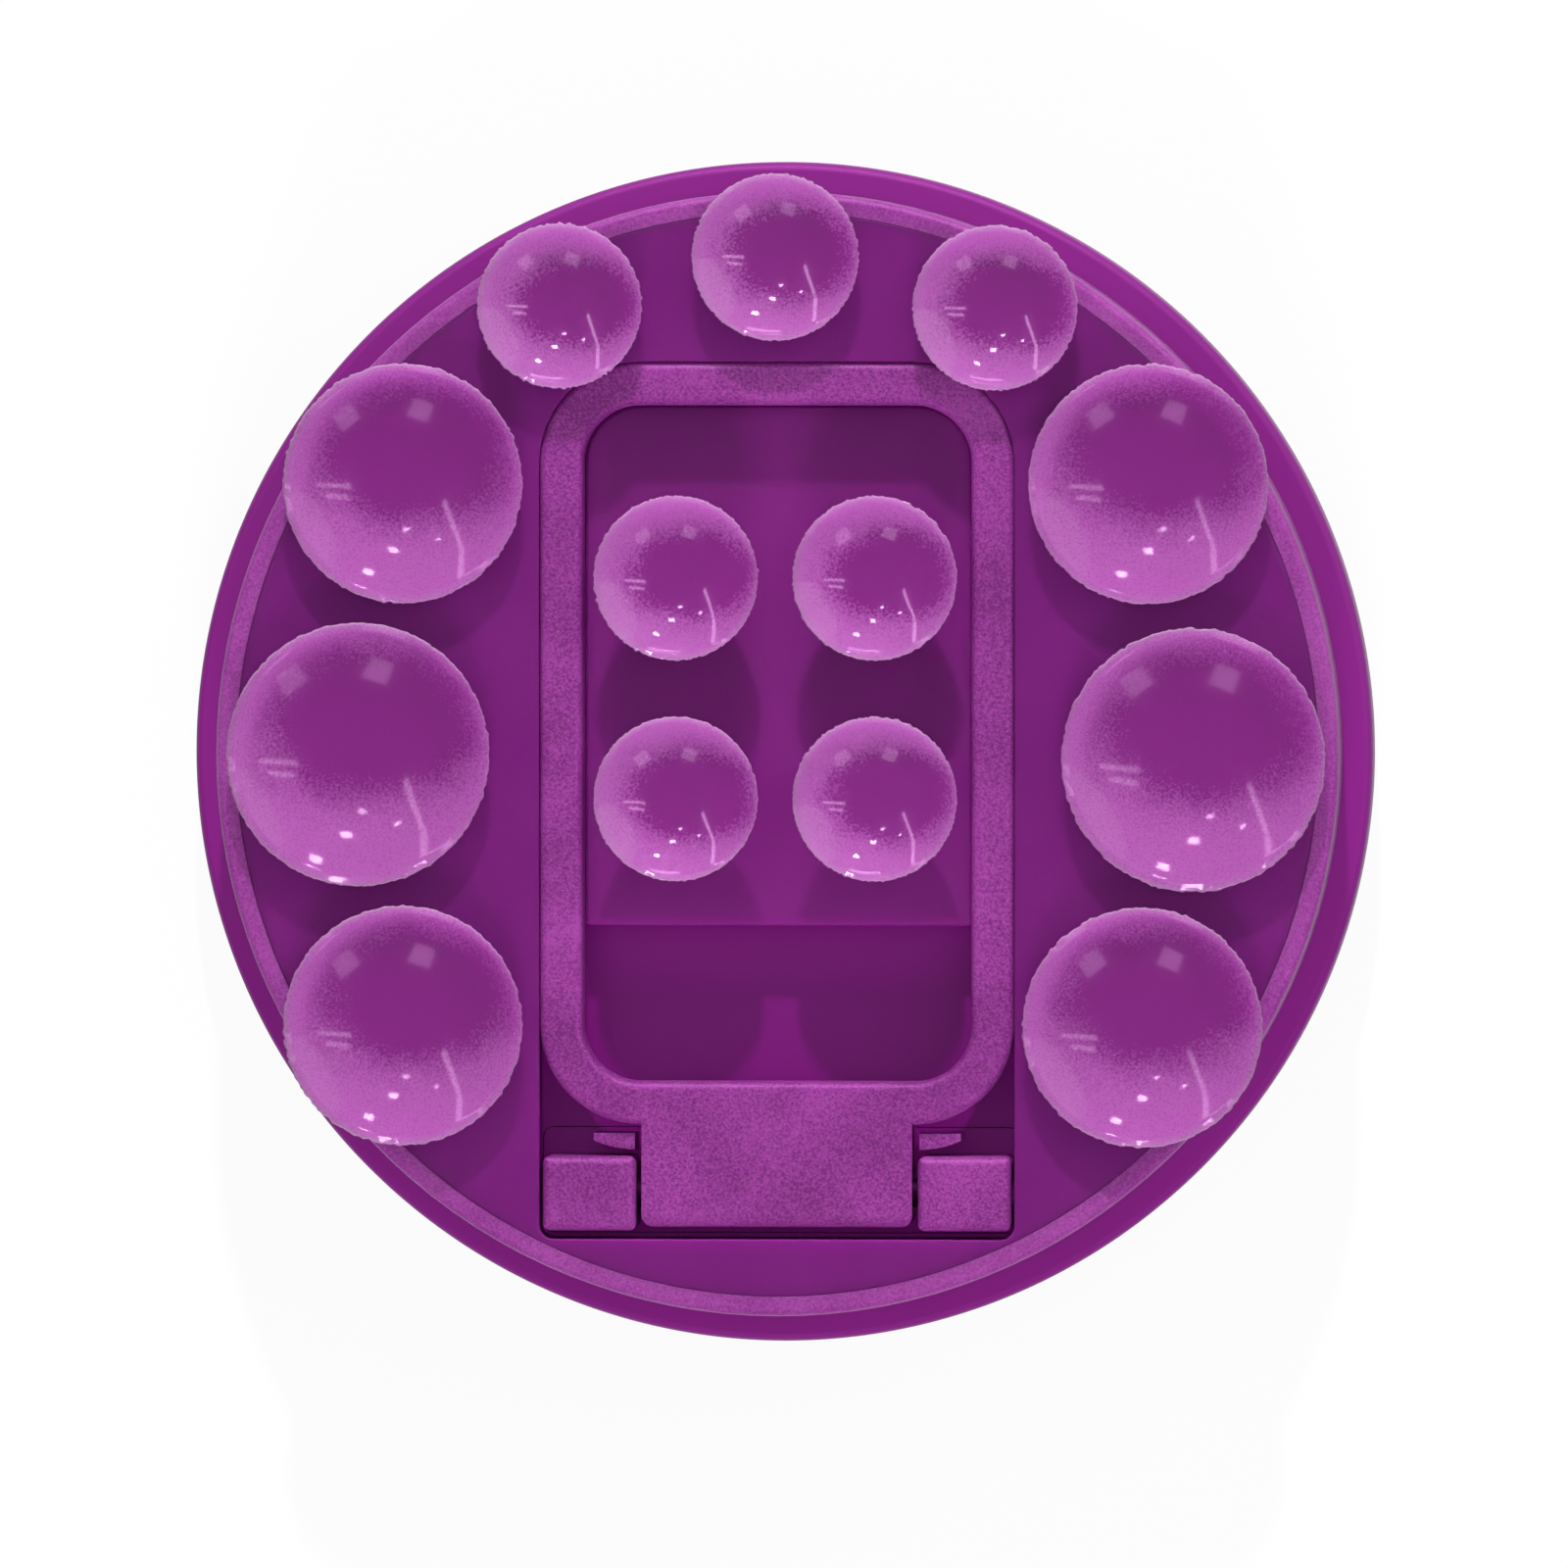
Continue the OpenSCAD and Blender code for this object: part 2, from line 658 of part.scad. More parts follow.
// The knuckle with its outer corners rounded in plan
module knuckle() {
    intersection() {
        translate([0, -axis_low, axis_z]) rotate([90, 0, 90]) {
            linear_extrude(knuckle_w, center = true) knuckle_section();
        }
        translate([0, 0, axis_z - knuckle_r - cut_over]) linear_extrude(2 * (knuckle_r + cut_over)) {
            rounded_rect(
                knuckle_half, -axis_low - knuckle_r, web_reach + knuckle_corner_r - axis_low, knuckle_corner_r
            );
        }
    }
}

// The fold-out stand: a rounded frame that turns on its knuckle
module stand_frame() {
    color(plastic_color) difference() {
        union() {
            translate([0, 0, frame_z]) frame_loop();
            knuckle();
        }
        translate([0, -axis_low, axis_z]) rotate([0, 90, 0]) {
            cylinder(r = pin_r + knuckle_bore_clearance, h = knuckle_w + 2 * cut_over, center = true);
        }
        for (side = [0, 1]) mirror([side, 0, 0]) {
            translate([knuckle_half - sleeve_inset - sleeve_l, -axis_low, axis_z]) rotate([0, 90, 0]) {
                cylinder(r = sleeve_out_r + press_gap, h = sleeve_l + sleeve_inset + cut_over);
            }
        }
    }
}

// Slotted spring sleeve that grips the pin, in the knuckle's end on the +X side
module friction_sleeve() {
    translate([knuckle_half - sleeve_inset - sleeve_l, -axis_low, axis_z]) rotate([0, 90, 0]) difference() {
        cylinder(r = sleeve_out_r, h = sleeve_l);
        translate([0, 0, -cut_over]) cylinder(r = sleeve_in_r, h = sleeve_l + 2 * cut_over);
        translate([0, -sleeve_slot_w / 2, -cut_over]) {
            cube([sleeve_out_r + cut_over, sleeve_slot_w, sleeve_l + 2 * cut_over]);
        }
    }
}

module friction_sleeve_left() {
    color(steel_color) mirror([1, 0, 0]) friction_sleeve();
}

module friction_sleeve_right() {
    color(steel_color) friction_sleeve();
}

face_pad();
magnet_housing();
shunt_ring();
for (i = [1:magnet_count]) magnet(i);
glide_ring();
wave_washer();
swivel_retainer();
swivel_screws();
carrier();
rim_pad();
centre_pad();
hinge_bracket();
bracket_screws();
hinge_pin();
stand_frame();
friction_sleeve_left();
friction_sleeve_right();
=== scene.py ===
# %% [markdown]
# # A suction cup phone holder, seen from its cup side
#
# The CAD model gives every rigid piece: two discs that turn on each other, a stand that
# folds out of a pocket, and the hinge and magnets inside. This lesson adds what CAD leaves
# plain. It makes the soft silicone pads and their thirteen cups again as fine surfaces,
# gives every piece the finish of its real material, and lights it as in the photograph.

# %% Load the frame
import math

import bpy
import numpy as np
from mathutils import Matrix, Vector


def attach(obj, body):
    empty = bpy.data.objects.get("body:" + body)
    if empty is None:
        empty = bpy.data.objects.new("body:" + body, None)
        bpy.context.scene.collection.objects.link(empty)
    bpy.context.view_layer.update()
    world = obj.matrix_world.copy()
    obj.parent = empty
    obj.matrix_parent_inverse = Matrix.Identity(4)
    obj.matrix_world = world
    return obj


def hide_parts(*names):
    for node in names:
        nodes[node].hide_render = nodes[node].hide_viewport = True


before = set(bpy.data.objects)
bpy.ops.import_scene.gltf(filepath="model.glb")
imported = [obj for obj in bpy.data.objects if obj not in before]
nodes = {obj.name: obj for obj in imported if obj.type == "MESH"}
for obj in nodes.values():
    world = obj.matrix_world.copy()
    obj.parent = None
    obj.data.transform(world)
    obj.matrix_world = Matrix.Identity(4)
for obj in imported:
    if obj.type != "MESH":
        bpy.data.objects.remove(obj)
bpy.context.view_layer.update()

# %% [markdown]
# ## The camera
#
# The photograph looks almost straight down, and its picture is 1600 pixels square. The
# higher a thing lies, the further it has moved to the left and downwards against the wide
# disc behind, so the camera stands a little to the right and up. The middle of the picture
# lies 33 pixels below the middle of the discs. A long lens far away keeps the discs round,
# as they are in the photograph.

# %% Place the camera
MM = 0.001
PIXEL = 0.05486 * MM
PICTURE = 1600
BELOW_MIDDLE = 33
TARGET_HEIGHT = 3.3 * MM
camera_distance = 1.5
camera_target = Vector((0.0, -BELOW_MIDDLE * PIXEL, TARGET_HEIGHT))
camera_lean = Vector((0.062, 0.025, 1.0))


def facing(lean, upright=Vector((0, 1, 0))):
    """Turn for a camera or lamp that stands in the direction lean and looks back from there:
    its z axis is lean, and its x axis is the upright direction, +Y in the picture, crossed with it."""
    z_axis = Vector(lean).normalized()
    x_axis = upright.cross(z_axis).normalized()
    return Matrix((x_axis, z_axis.cross(x_axis), z_axis)).transposed().to_euler()


camera_data = bpy.data.cameras.new("camera")
camera_data.sensor_width = 36.0
camera_data.lens = camera_data.sensor_width * camera_distance / (PICTURE * PIXEL)
camera_data.clip_start = 0.01
camera_data.clip_end = 20.0
camera = bpy.data.objects.new("camera", camera_data)
bpy.context.scene.collection.objects.link(camera)
camera.location = camera_target + camera_lean.normalized() * camera_distance
camera.rotation_euler = facing(camera_lean)
bpy.context.scene.camera = camera
print("lens", round(camera_data.lens, 1), "mm; camera at", [round(v, 3) for v in camera.location])

# %% [markdown]
# ## Building with grids
#
# Every soft piece here is one of two surfaces. A cup is a profile turned about an upright
# axis. A pad is a cross-section carried round the pad's outline. Both are grids of points
# that numpy works out at once: one index runs along the profile, the other runs round.
# Shapes are worked out in millimetres, and MM turns them into metres at the end.

# %% Make a mesh from a closed grid
def grid_faces(rows, columns, closed_rows):
    """Quads between neighbouring points of a grid whose columns run round in a circle.
    Point (i, j) has the number i * columns + j, and with closed_rows the last row meets the first."""
    last = rows if closed_rows else rows - 1
    i, j = np.meshgrid(np.arange(last), np.arange(columns), indexing="ij")
    i_next, j_next = (i + 1) % rows, (j + 1) % columns
    corners = [i * columns + j, i * columns + j_next, i_next * columns + j_next, i_next * columns + j]
    return np.stack(corners, axis=-1).reshape(-1, 4)


def mesh_piece(name, points, faces, fans=()):
    """A smooth mesh object from points in metres, quads, and fans of triangles that close its poles."""
    triangles = np.concatenate(fans) if len(fans) else np.zeros((0, 3), int)
    mesh = bpy.data.meshes.new(name)
    mesh.vertices.add(len(points))
    mesh.vertices.foreach_set("co", np.asarray(points, np.float32).ravel())
    loops = np.concatenate([faces.ravel(), triangles.ravel()]).astype(np.int32)
    starts = np.concatenate([np.arange(len(faces)) * 4, len(faces) * 4 + np.arange(len(triangles)) * 3])
    mesh.loops.add(len(loops))
    mesh.loops.foreach_set("vertex_index", loops)
    mesh.polygons.add(len(starts))
    mesh.polygons.foreach_set("loop_start", starts.astype(np.int32))
    mesh.update(calc_edges=True)
    mesh.validate()
    mesh.polygons.foreach_set("use_smooth", np.ones(len(mesh.polygons), bool))
    piece = bpy.data.objects.new(name, mesh)
    bpy.context.scene.collection.objects.link(piece)
    print(name, len(mesh.vertices), "points,", len(mesh.polygons), "faces")
    return piece


def pole_fan(pole, ring, outward):
    """Triangles from one pole point to every pair of neighbours on a ring of point numbers."""
    following = np.roll(ring, -1)
    pair = (following, ring) if outward else (ring, following)
    return np.stack([np.full(len(ring), pole), *pair], axis=-1)


print("an open grid of 3 by 4 points has", len(grid_faces(3, 4, False)), "faces")

# %% [markdown]
# ## The suction cups
#
# Each cup is a shallow bowl of soft silicone with a thin lip, moulded in one with its pad.
# Its hollow is nearly flat in the middle and gets steeper on the way out, up to a narrow
# land that seals against the wall. The outside is an arc that starts deeper, so the cup
# thins out towards the lip. Real cups are soft and never perfectly round: a random wave
# makes the lip slightly ragged, as flash from the mould does, and slow random dents in the
# bowl give every cup its own reflections.
#
# Two numbers are kept at each point for the material. The number wall says how near the
# thin lip is. It is counted from a spot a little right of the axis, and the material paints
# the lip pale with it: a painted glow of the light that comes through the thin rubber,
# wider on the left. The number frost says how far the point is from the cup's clear spot,
# which lies a little off the middle: to the right in a small cup, and upwards in a large
# one. So the frost spreads to the left and below, partly real frost and partly painted
# light, and the clear upper right is partly painted shade.

# %% Profile of one cup
TOP = 10.0            # height of the disc's top face
LIP = 11.4            # height of the cups' lips
FLAT_SHARE = 0.34     # flat underside, as a share of the cup's radius
BOWL_POWER = 2.6      # how fast the hollow steepens
FLOOR_T = 0.45        # rubber under the hollow's middle
LAND_SHARE = 0.925    # where the sealing land starts, as a share of the radius
LAND_RISE = 0.12      # rise of the land up to the lip
LIP_R = 0.06          # rounding of the lip
HOLLOW_POINTS = 44
FIRST_SHARE = 0.03    # first point of the hollow, as a share of the land's radius
OUTSIDE_POINTS = 34
NECK_R = 0.3          # rounding between cup and stem
NECK_CLEAR = 0.35     # the cup's outside stops this far from the stem
FOOT_R = 0.4          # rounding at the stem's foot
FOOT_SUNK = 0.3       # how deep the foot goes into the pad
CORE_R = 0.3          # last ring before the axis


def rising_arc(start, run, rise, stop, count):
    """Points on an arc that leaves level at radius start and would climb by rise over run.
    The arc's radius is (run^2 + rise^2) / (2 rise); the points end at the height stop."""
    arc_r = (run**2 + rise**2) / (2 * rise)
    end = math.acos(1 - stop / arc_r)
    t = np.linspace(0, end, count)
    return np.stack([start + arc_r * np.sin(t), arc_r * (1 - np.cos(t))], axis=-1)


def cup_profile(radius, depth, stem=None):
    """Closed half-section of a cup as (radius, height) points, its lip at height 0.
    It runs from the middle of the hollow, whose height grows as a power of the radius, out to
    the lip, round it, and back under the cup. With a stem, it goes down to the stem's foot,
    which flares out, before it reaches the axis."""
    flat = FLAT_SHARE * radius
    body = depth + FLOOR_T
    land = LAND_SHARE * radius
    rise = depth - LAND_RISE
    share = np.linspace(FIRST_SHARE, 1, HOLLOW_POINTS)
    hollow = np.stack([land * share, rise * share**BOWL_POWER - depth], axis=-1)
    outside = rising_arc(flat, radius - flat, body, body - LIP_R, OUTSIDE_POINTS) + [0, -body]
    edge = outside[-1] - [LIP_R, 0]
    share = np.linspace(0, 1, 7)[1:, None]
    seal = hollow[-1] * (1 - share) + (edge + [0, LIP_R]) * share
    turn = np.linspace(math.pi / 2, 0, 5)[1:-1]
    lip = edge + LIP_R * np.stack([np.cos(turn), np.sin(turn)], axis=-1)
    parts = [hollow, seal, lip, outside[::-1]]
    if stem is None:
        parts.append(np.array([[flat * 0.5, -body]]))
    else:
        stem_r, stem_z = stem
        parts[-1] = outside[::-1][outside[::-1][:, 0] > stem_r + NECK_CLEAR]
        bend = np.linspace(0, math.pi / 2, 6)
        neck_r = stem_r + NECK_R - NECK_R * np.sin(bend)
        neck_z = -body - NECK_R + NECK_R * np.cos(bend)
        foot_r = stem_r + FOOT_R - FOOT_R * np.cos(bend)
        foot_z = stem_z + FOOT_R - FOOT_R * np.sin(bend)
        sunk = stem_z - FOOT_SUNK
        parts += [np.stack([neck_r, neck_z], axis=-1), np.stack([foot_r, foot_z], axis=-1),
                  np.array([[stem_r + FOOT_R, sunk], [CORE_R, sunk]])]
    return np.concatenate(parts)


print("the section of a small cup has", len(cup_profile(4.7, 1.3)), "points")

# %% Random waves for lips and hollows
DENT = 0.008          # half the depth of the deepest dent
DENT_WAVES = 5


def smooth_wave(seed, count, lowest, highest, strength):
    """A closed random wave: a sum of cosines with whole numbers of turns, random heights and
    random phases."""
    rng = np.random.default_rng(seed)
    turns = np.arange(lowest, highest)
    angle = np.arange(count) * 2 * math.pi / count
    heights = rng.normal(size=len(turns))
    phases = rng.uniform(0, 2 * math.pi, len(turns))
    wave = (heights[:, None] * np.cos(turns[:, None] * angle + phases[:, None])).sum(axis=0)
    return strength * wave / np.abs(wave).max()


def slow_dents(seed, x, y, wave_length):
    """Heights between -2 * DENT and 0: the mean of DENT_WAVES cosine waves that run in random
    directions over the plane, with lengths from one to two times wave_length."""
    rng = np.random.default_rng(seed)
    height = np.zeros_like(x)
    draws = rng.uniform([0, 1, 0], [2 * math.pi, 2, 2 * math.pi], (DENT_WAVES, 3))
    for heading, length, phase in draws:
        along = (x * math.cos(heading) + y * math.sin(heading)) / (length * wave_length)
        height += np.cos(2 * math.pi * along + phase) / DENT_WAVES
    return DENT * (height - 1)


print("the dents are up to", 2 * DENT, "mm deep")

# %% Turn the profile
ROUND = 240                      # points round a cup
TRAY_R = 30.2                    # the pad's seat, 0.05 mm inside the tray's wall
DENT_LENGTH = 0.6                # shortest wave of the dents, in cup radii
RAGGED_TURNS = (14, 110)         # waves round the lip
RAGGED_BY = 0.11                 # how far the highest wave goes in or out
RAGGED_INWARDS = 0.03            # how far the whole lip moves in
# The spots below lie off the cup's axis, so that the material paints light and shade across each cup: a paler
# lip and frost on the left and below, and a darker clear spot to the upper right.
LIP_GLOW_ASIDE = 0.1                 # in cup radii, as the spots below
SMALL_CUP_R = 5                  # a small cup's radius is less
SMALL_CLEAR_SPOT_TOWARDS_SHADE = (0.2, 0.04)
LARGE_CLEAR_SPOT_TOWARDS_SHADE = (0.1, 0.25)
CLEAR_WIDTH, CLEAR_HEIGHT = 1.2, 0.85


def store(cup, name, values):
    """Stores one number at each point, and 0 at the two poles, under a name that a material can read."""
    attribute = cup.data.attributes.new(name, "FLOAT", "POINT")
    attribute.data.foreach_set("value", np.append(values, [0, 0]).astype(np.float32))


def suction_cup(name, x, y, radius, depth, seed, stem=None):
    """A cup about the upright line through (x, y) in mm: every profile point makes a circle.
    The lip's points move in and out by a smooth random wave, all points move down by the
    slow dents, and points beyond the tray are lifted onto the plastic rim, because the cup
    lies over it there. The number wall is the distance from a spot just beside the axis, and
    frost is the distance from the clear spot, squeezed to an oval; both count in radii."""
    profile = cup_profile(radius, depth, stem)
    angle = np.arange(ROUND) * 2 * math.pi / ROUND
    near_lip = np.clip((profile[:, 0] / radius - LAND_SHARE) / (1 - LAND_SHARE), 0, 1) ** 2
    ragged = smooth_wave(seed, ROUND, *RAGGED_TURNS, RAGGED_BY)
    r = profile[:, :1] + near_lip[:, None] * (ragged - RAGGED_INWARDS)
    points = np.stack([x + r * np.cos(angle), y + r * np.sin(angle),
                       np.repeat(LIP + profile[:, 1:], ROUND, axis=1)], axis=-1).reshape(-1, 3)
    points[:, 2] += slow_dents(seed, points[:, 0], points[:, 1], DENT_LENGTH * radius)
    over_rim = (np.hypot(points[:, 0], points[:, 1]) > TRAY_R) & (points[:, 2] < TOP)
    points[over_rim, 2] = TOP
    rows = len(profile)
    poles = np.array([[x, y, LIP + profile[0, 1]], [x, y, LIP + profile[-1, 1]]])
    faces = grid_faces(rows, ROUND, False)
    fans = [pole_fan(rows * ROUND, np.arange(ROUND), True),
            pole_fan(rows * ROUND + 1, (rows - 1) * ROUND + np.arange(ROUND), False)]
    cup = mesh_piece(name, np.concatenate([points, poles]) * MM, faces[:, ::-1], [f[:, ::-1] for f in fans])
    # Both numbers count from spots off the axis, so that the pale lip and the frost paint light on the left
    # and lower walls and shade on the upper right.
    away_x, away_y = (points[:, 0] - x) / radius, (points[:, 1] - y) / radius
    store(cup, "wall", np.hypot(away_x - LIP_GLOW_ASIDE, away_y))
    clear_x, clear_y = SMALL_CLEAR_SPOT_TOWARDS_SHADE if radius < SMALL_CUP_R else LARGE_CLEAR_SPOT_TOWARDS_SHADE
    store(cup, "frost", np.hypot((away_x - clear_x) / CLEAR_WIDTH, (away_y - clear_y) / CLEAR_HEIGHT))
    return cup

# %% Make the thirteen cups
# Each cup on the rim: its distance from the middle, its compass angle, its radius and its depth.
RIM_CUPS = {
    "cup_top": (27.72, 90.0, 4.72, 1.3),
    "cup_shoulder_left": (27.75, 115.7, 4.66, 1.3),
    "cup_shoulder_right": (27.75, 63.8, 4.66, 1.3),
    "cup_upper_left": (25.7, 144.0, 6.76, 1.6),
    "cup_upper_right": (25.7, 36.0, 6.76, 1.6),
    "cup_side_left": (23.3, 180.0, 7.43, 1.6),
    "cup_side_right": (23.3, -0.6, 7.43, 1.6),
    "cup_lower_left": (25.7, 216.0, 6.76, 1.6),
    "cup_lower_right": (25.46, 323.5, 6.76, 1.6),
}
cups = []
for seed, (name, (ring_r, turn, radius, depth)) in enumerate(RIM_CUPS.items()):
    x, y = ring_r * math.cos(math.radians(turn)), ring_r * math.sin(math.radians(turn))
    cup = suction_cup(name, x, y, radius, depth, seed)
    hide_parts("rim_pad")
    cups.append(cup)

CENTRE_Y = 3.7                            # middle of the four cups
CENTRE_ASIDE, CENTRE_APART = 5.55, 6.15   # from there to a cup's axis, across and along
CENTRE_CUP = dict(radius=4.65, depth=1.3)
CENTRE_PAD_TOP = 7.8
STEM_R = 2.0
CENTRE_SEED = 20
for seed, (side, row) in enumerate([(-1, 1), (1, 1), (-1, -1), (1, -1)], start=CENTRE_SEED):
    name = f"cup_centre_{'left' if side < 0 else 'right'}_{'upper' if row > 0 else 'lower'}"
    cup = suction_cup(name, side * CENTRE_ASIDE, CENTRE_Y + row * CENTRE_APART, seed=seed,
                      stem=(STEM_R, CENTRE_PAD_TOP - LIP), **CENTRE_CUP)
    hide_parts("centre_pad")
    cups.append(cup)
for cup in cups:
    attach(cup, "suction_disc")

# %% [markdown]
# ## The two silicone pads
#
# The outer pad fills the tray inside the plastic rim and leaves a hole for the stand's
# pocket. It is a cross-section carried round that pocket: up the pocket's wall, over a
# small rounding, across to the rim, and back underneath. Under each deep cup its top dips,
# so that nothing of it shows in the cup's hollow. The centre pad is a slab with rounded
# upper corners, made of shrinking copies of its own outline.

# %% Outlines
def rounded_outline(left, right, low, high, radii, step):
    """Points counter-clockwise round a rectangle whose corners are arcs.
    radii are those of the lower left, lower right, upper right and upper left corner."""
    corners = [(left, low, math.pi), (right, low, 1.5 * math.pi),
               (right, high, 0.0), (left, high, 0.5 * math.pi)]
    arcs = []
    for (cx, cy, start), r in zip(corners, radii):
        x0, y0 = cx + (r if cx == left else -r), cy + (r if cy == low else -r)
        t = start + np.linspace(0, math.pi / 2, 9)
        arcs.append(np.stack([x0 + r * np.cos(t), y0 + r * np.sin(t)], axis=-1))
    pieces = []
    for arc, following in zip(arcs, arcs[1:] + arcs[:1]):
        count = max(2, int(np.linalg.norm(following[0] - arc[-1]) / step))
        share = np.linspace(0, 1, count + 1)[1:-1, None]
        pieces += [arc, arc[-1] * (1 - share) + following[0] * share]
    return np.concatenate(pieces)


POCKET = dict(left=-13.27, right=13.27, low=-27.05, high=21.88)
pocket_line = rounded_outline(**POCKET, radii=[0.8, 0.8, 5.66, 5.66], step=0.3)
print("pocket outline has", len(pocket_line), "points")

# %% The outer pad
PAD_LOW = 7.6         # height of the underside
EDGE_R = 0.09         # rounding at the pocket
ACROSS = 56           # points from the pocket to the tray's wall
TUCKED = 0.04         # how much of that gap the pad fills, so that no dark line shows
EASED = 0.02          # how much less its top edge fills
CROWN = 0.03          # how much lower the top is at the tray's wall
TURNED_DOWN = 0.05    # drop of the last point there
ROOM_FOR_EDGE = 2.5   # a pad narrower than this many EDGE_R gets a smaller rounding
FOOT_SHARE = 0.69     # radius of the dip under a cup, as a share of the cup's
DIP_SLOPE = 0.3       # width of the step round the dip
DIP_DEPTH = 0.8


def rim_sheet_points():
    """Row i, column j: the section's point i at the outline's point j.
    Every column lies in an upright plane through the disc's middle, from the pocket's wall
    to the tray's, and share runs from 0 at the pocket to 1 at the tray. Where the pad is
    narrow, its rounding gets smaller with it."""
    direction = pocket_line / np.linalg.norm(pocket_line, axis=1, keepdims=True)
    outer = direction * (TRAY_R + TUCKED)
    bend = np.linspace(0, math.pi / 2, 5)
    inset = EDGE_R * (1 - np.cos(bend))
    drop = EDGE_R * (1 - np.sin(bend))
    across = np.linspace(0, 1, ACROSS)
    shares = np.concatenate([[0], np.zeros(5), across, [1, 1]])
    insets = np.concatenate([[0], inset, np.linspace(EDGE_R, -EASED, ACROSS), [0, 0]])
    crown = np.linspace(0, CROWN, ACROSS)
    drops = np.concatenate([[TOP - PAD_LOW], drop, crown, [TURNED_DOWN, TOP - PAD_LOW]])
    flat = pocket_line * (1 - shares[:, None, None]) + outer * shares[:, None, None]
    width = np.linalg.norm(outer - pocket_line, axis=1)
    slim = np.clip(width / (ROOM_FOR_EDGE * EDGE_R), 0, 1)[None, :, None]
    flat = flat + direction * insets[:, None, None] * slim
    z = np.broadcast_to((TOP - drops)[:, None], flat.shape[:2]).copy()
    return flat, z


def dip_under_cups(flat, z):
    """Lowers the top where a deep cup's hollow reaches below it: fully inside the cup's foot,
    not at all outside it, and along a smooth step between the two."""
    for ring_r, turn, radius, depth in RIM_CUPS.values():
        if depth < LIP - TOP:
            continue
        x, y = ring_r * math.cos(math.radians(turn)), ring_r * math.sin(math.radians(turn))
        foot = FOOT_SHARE * radius
        reach = np.hypot(flat[..., 0] - x, flat[..., 1] - y)
        step = np.clip((foot - reach) / DIP_SLOPE, 0, 1)
        z -= np.where(z > TOP - TURNED_DOWN, 1.0, 0.0) * step * step * (3 - 2 * step) * DIP_DEPTH
    return z


flat, z = rim_sheet_points()
z = dip_under_cups(flat, z)
sheet_points = np.concatenate([flat, z[..., None]], axis=-1).reshape(-1, 3)
rim_sheet = mesh_piece("rim_pad_sheet", sheet_points * MM, grid_faces(*z.shape, True)[:, ::-1])
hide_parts("rim_pad")
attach(rim_sheet, "suction_disc")

# %% The centre pad
UNDERSIDE_SHARES = (0.2, 0.6, 1.0)
TOP_SHARES = np.linspace(0.96, 0.04, 24)


def slab(name, outline, low, high, edge_r, centre):
    """A slab with a rounded top edge: copies of the outline, moved inwards along its normals
    over the rounding and then shrunk towards the centre, on the top and on the bottom."""
    ahead, behind = np.roll(outline, -1, axis=0), np.roll(outline, 1, axis=0)
    tangent = (ahead - behind) / np.linalg.norm(ahead - behind, axis=1, keepdims=True)
    inward = np.stack([-tangent[:, 1], tangent[:, 0]], axis=-1)
    bend = np.linspace(0, math.pi / 2, 6)
    loops = [(outline * s + centre * (1 - s), low) for s in UNDERSIDE_SHARES]
    loops += [(outline + inward * edge_r * (1 - c), high - edge_r * (1 - s))
              for c, s in zip(np.cos(bend), np.sin(bend))]
    top = outline + inward * edge_r
    loops += [(top * s + centre * (1 - s), high) for s in TOP_SHARES]
    points = np.concatenate([np.column_stack([loop, np.full(len(loop), z)]) for loop, z in loops])
    rows, columns = len(loops), len(outline)
    poles = np.array([[*centre, low], [*centre, high]])
    fans = [pole_fan(rows * columns, np.arange(columns), True),
            pole_fan(rows * columns + 1, (rows - 1) * columns + np.arange(columns), False)]
    return mesh_piece(name, np.concatenate([points, poles]) * MM, grid_faces(rows, columns, False), fans)


CENTRE_PAD = dict(left=-10.79, right=10.79, low=-9.6, high=19.38)
CENTRE_PAD_LOW = 7.0
CENTRE_EDGE_R = 0.18
centre_line = rounded_outline(**CENTRE_PAD, radii=[0.25, 0.25, 3.14, 3.14], step=0.4)
centre_sheet = slab("centre_pad_sheet", centre_line, CENTRE_PAD_LOW, CENTRE_PAD_TOP, CENTRE_EDGE_R,
                    centre=np.array([0.0, 4.7]))
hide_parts("centre_pad")
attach(centre_sheet, "suction_disc")

# %% [markdown]
# ## The face pad
#
# The wide disc lies on the phone with a thin silicone face over its magnets. It is a flat
# disc with a rounded edge, a profile turned about the middle.

# %% Turn the face pad
def turned(name, profile, count):
    """A closed profile of (radius, height) points from axis to axis, turned about the upright
    line through the origin."""
    angle = np.arange(count) * 2 * math.pi / count
    r, z = profile[1:-1, :1], profile[1:-1, 1:]
    points = np.stack([r * np.cos(angle), r * np.sin(angle), np.repeat(z, count, axis=1)], axis=-1)
    points = points.reshape(-1, 3)
    rows = len(r)
    poles = np.array([[0, 0, profile[0, 1]], [0, 0, profile[-1, 1]]])
    fans = [pole_fan(rows * count, np.arange(count), True),
            pole_fan(rows * count + 1, (rows - 1) * count + np.arange(count), False)]
    return mesh_piece(name, np.concatenate([points, poles]) * MM, grid_faces(rows, count, False), fans)


def corner(r, z, size, start):
    """A quarter circle of points about (r, z), which turns counter-clockwise from the angle start."""
    t = math.radians(start) + np.linspace(0, math.pi / 2, 7)
    return np.stack([r + size * np.cos(t), z + size * np.sin(t)], axis=-1)


FACE_R, FACE_TOP, FACE_EDGE_R = 31.6, 0.79, 0.15
bend = np.linspace(0, math.pi / 2, 6)
face_edge = np.stack([FACE_R - FACE_EDGE_R + FACE_EDGE_R * np.sin(bend),
                      FACE_EDGE_R - FACE_EDGE_R * np.cos(bend)], axis=-1)
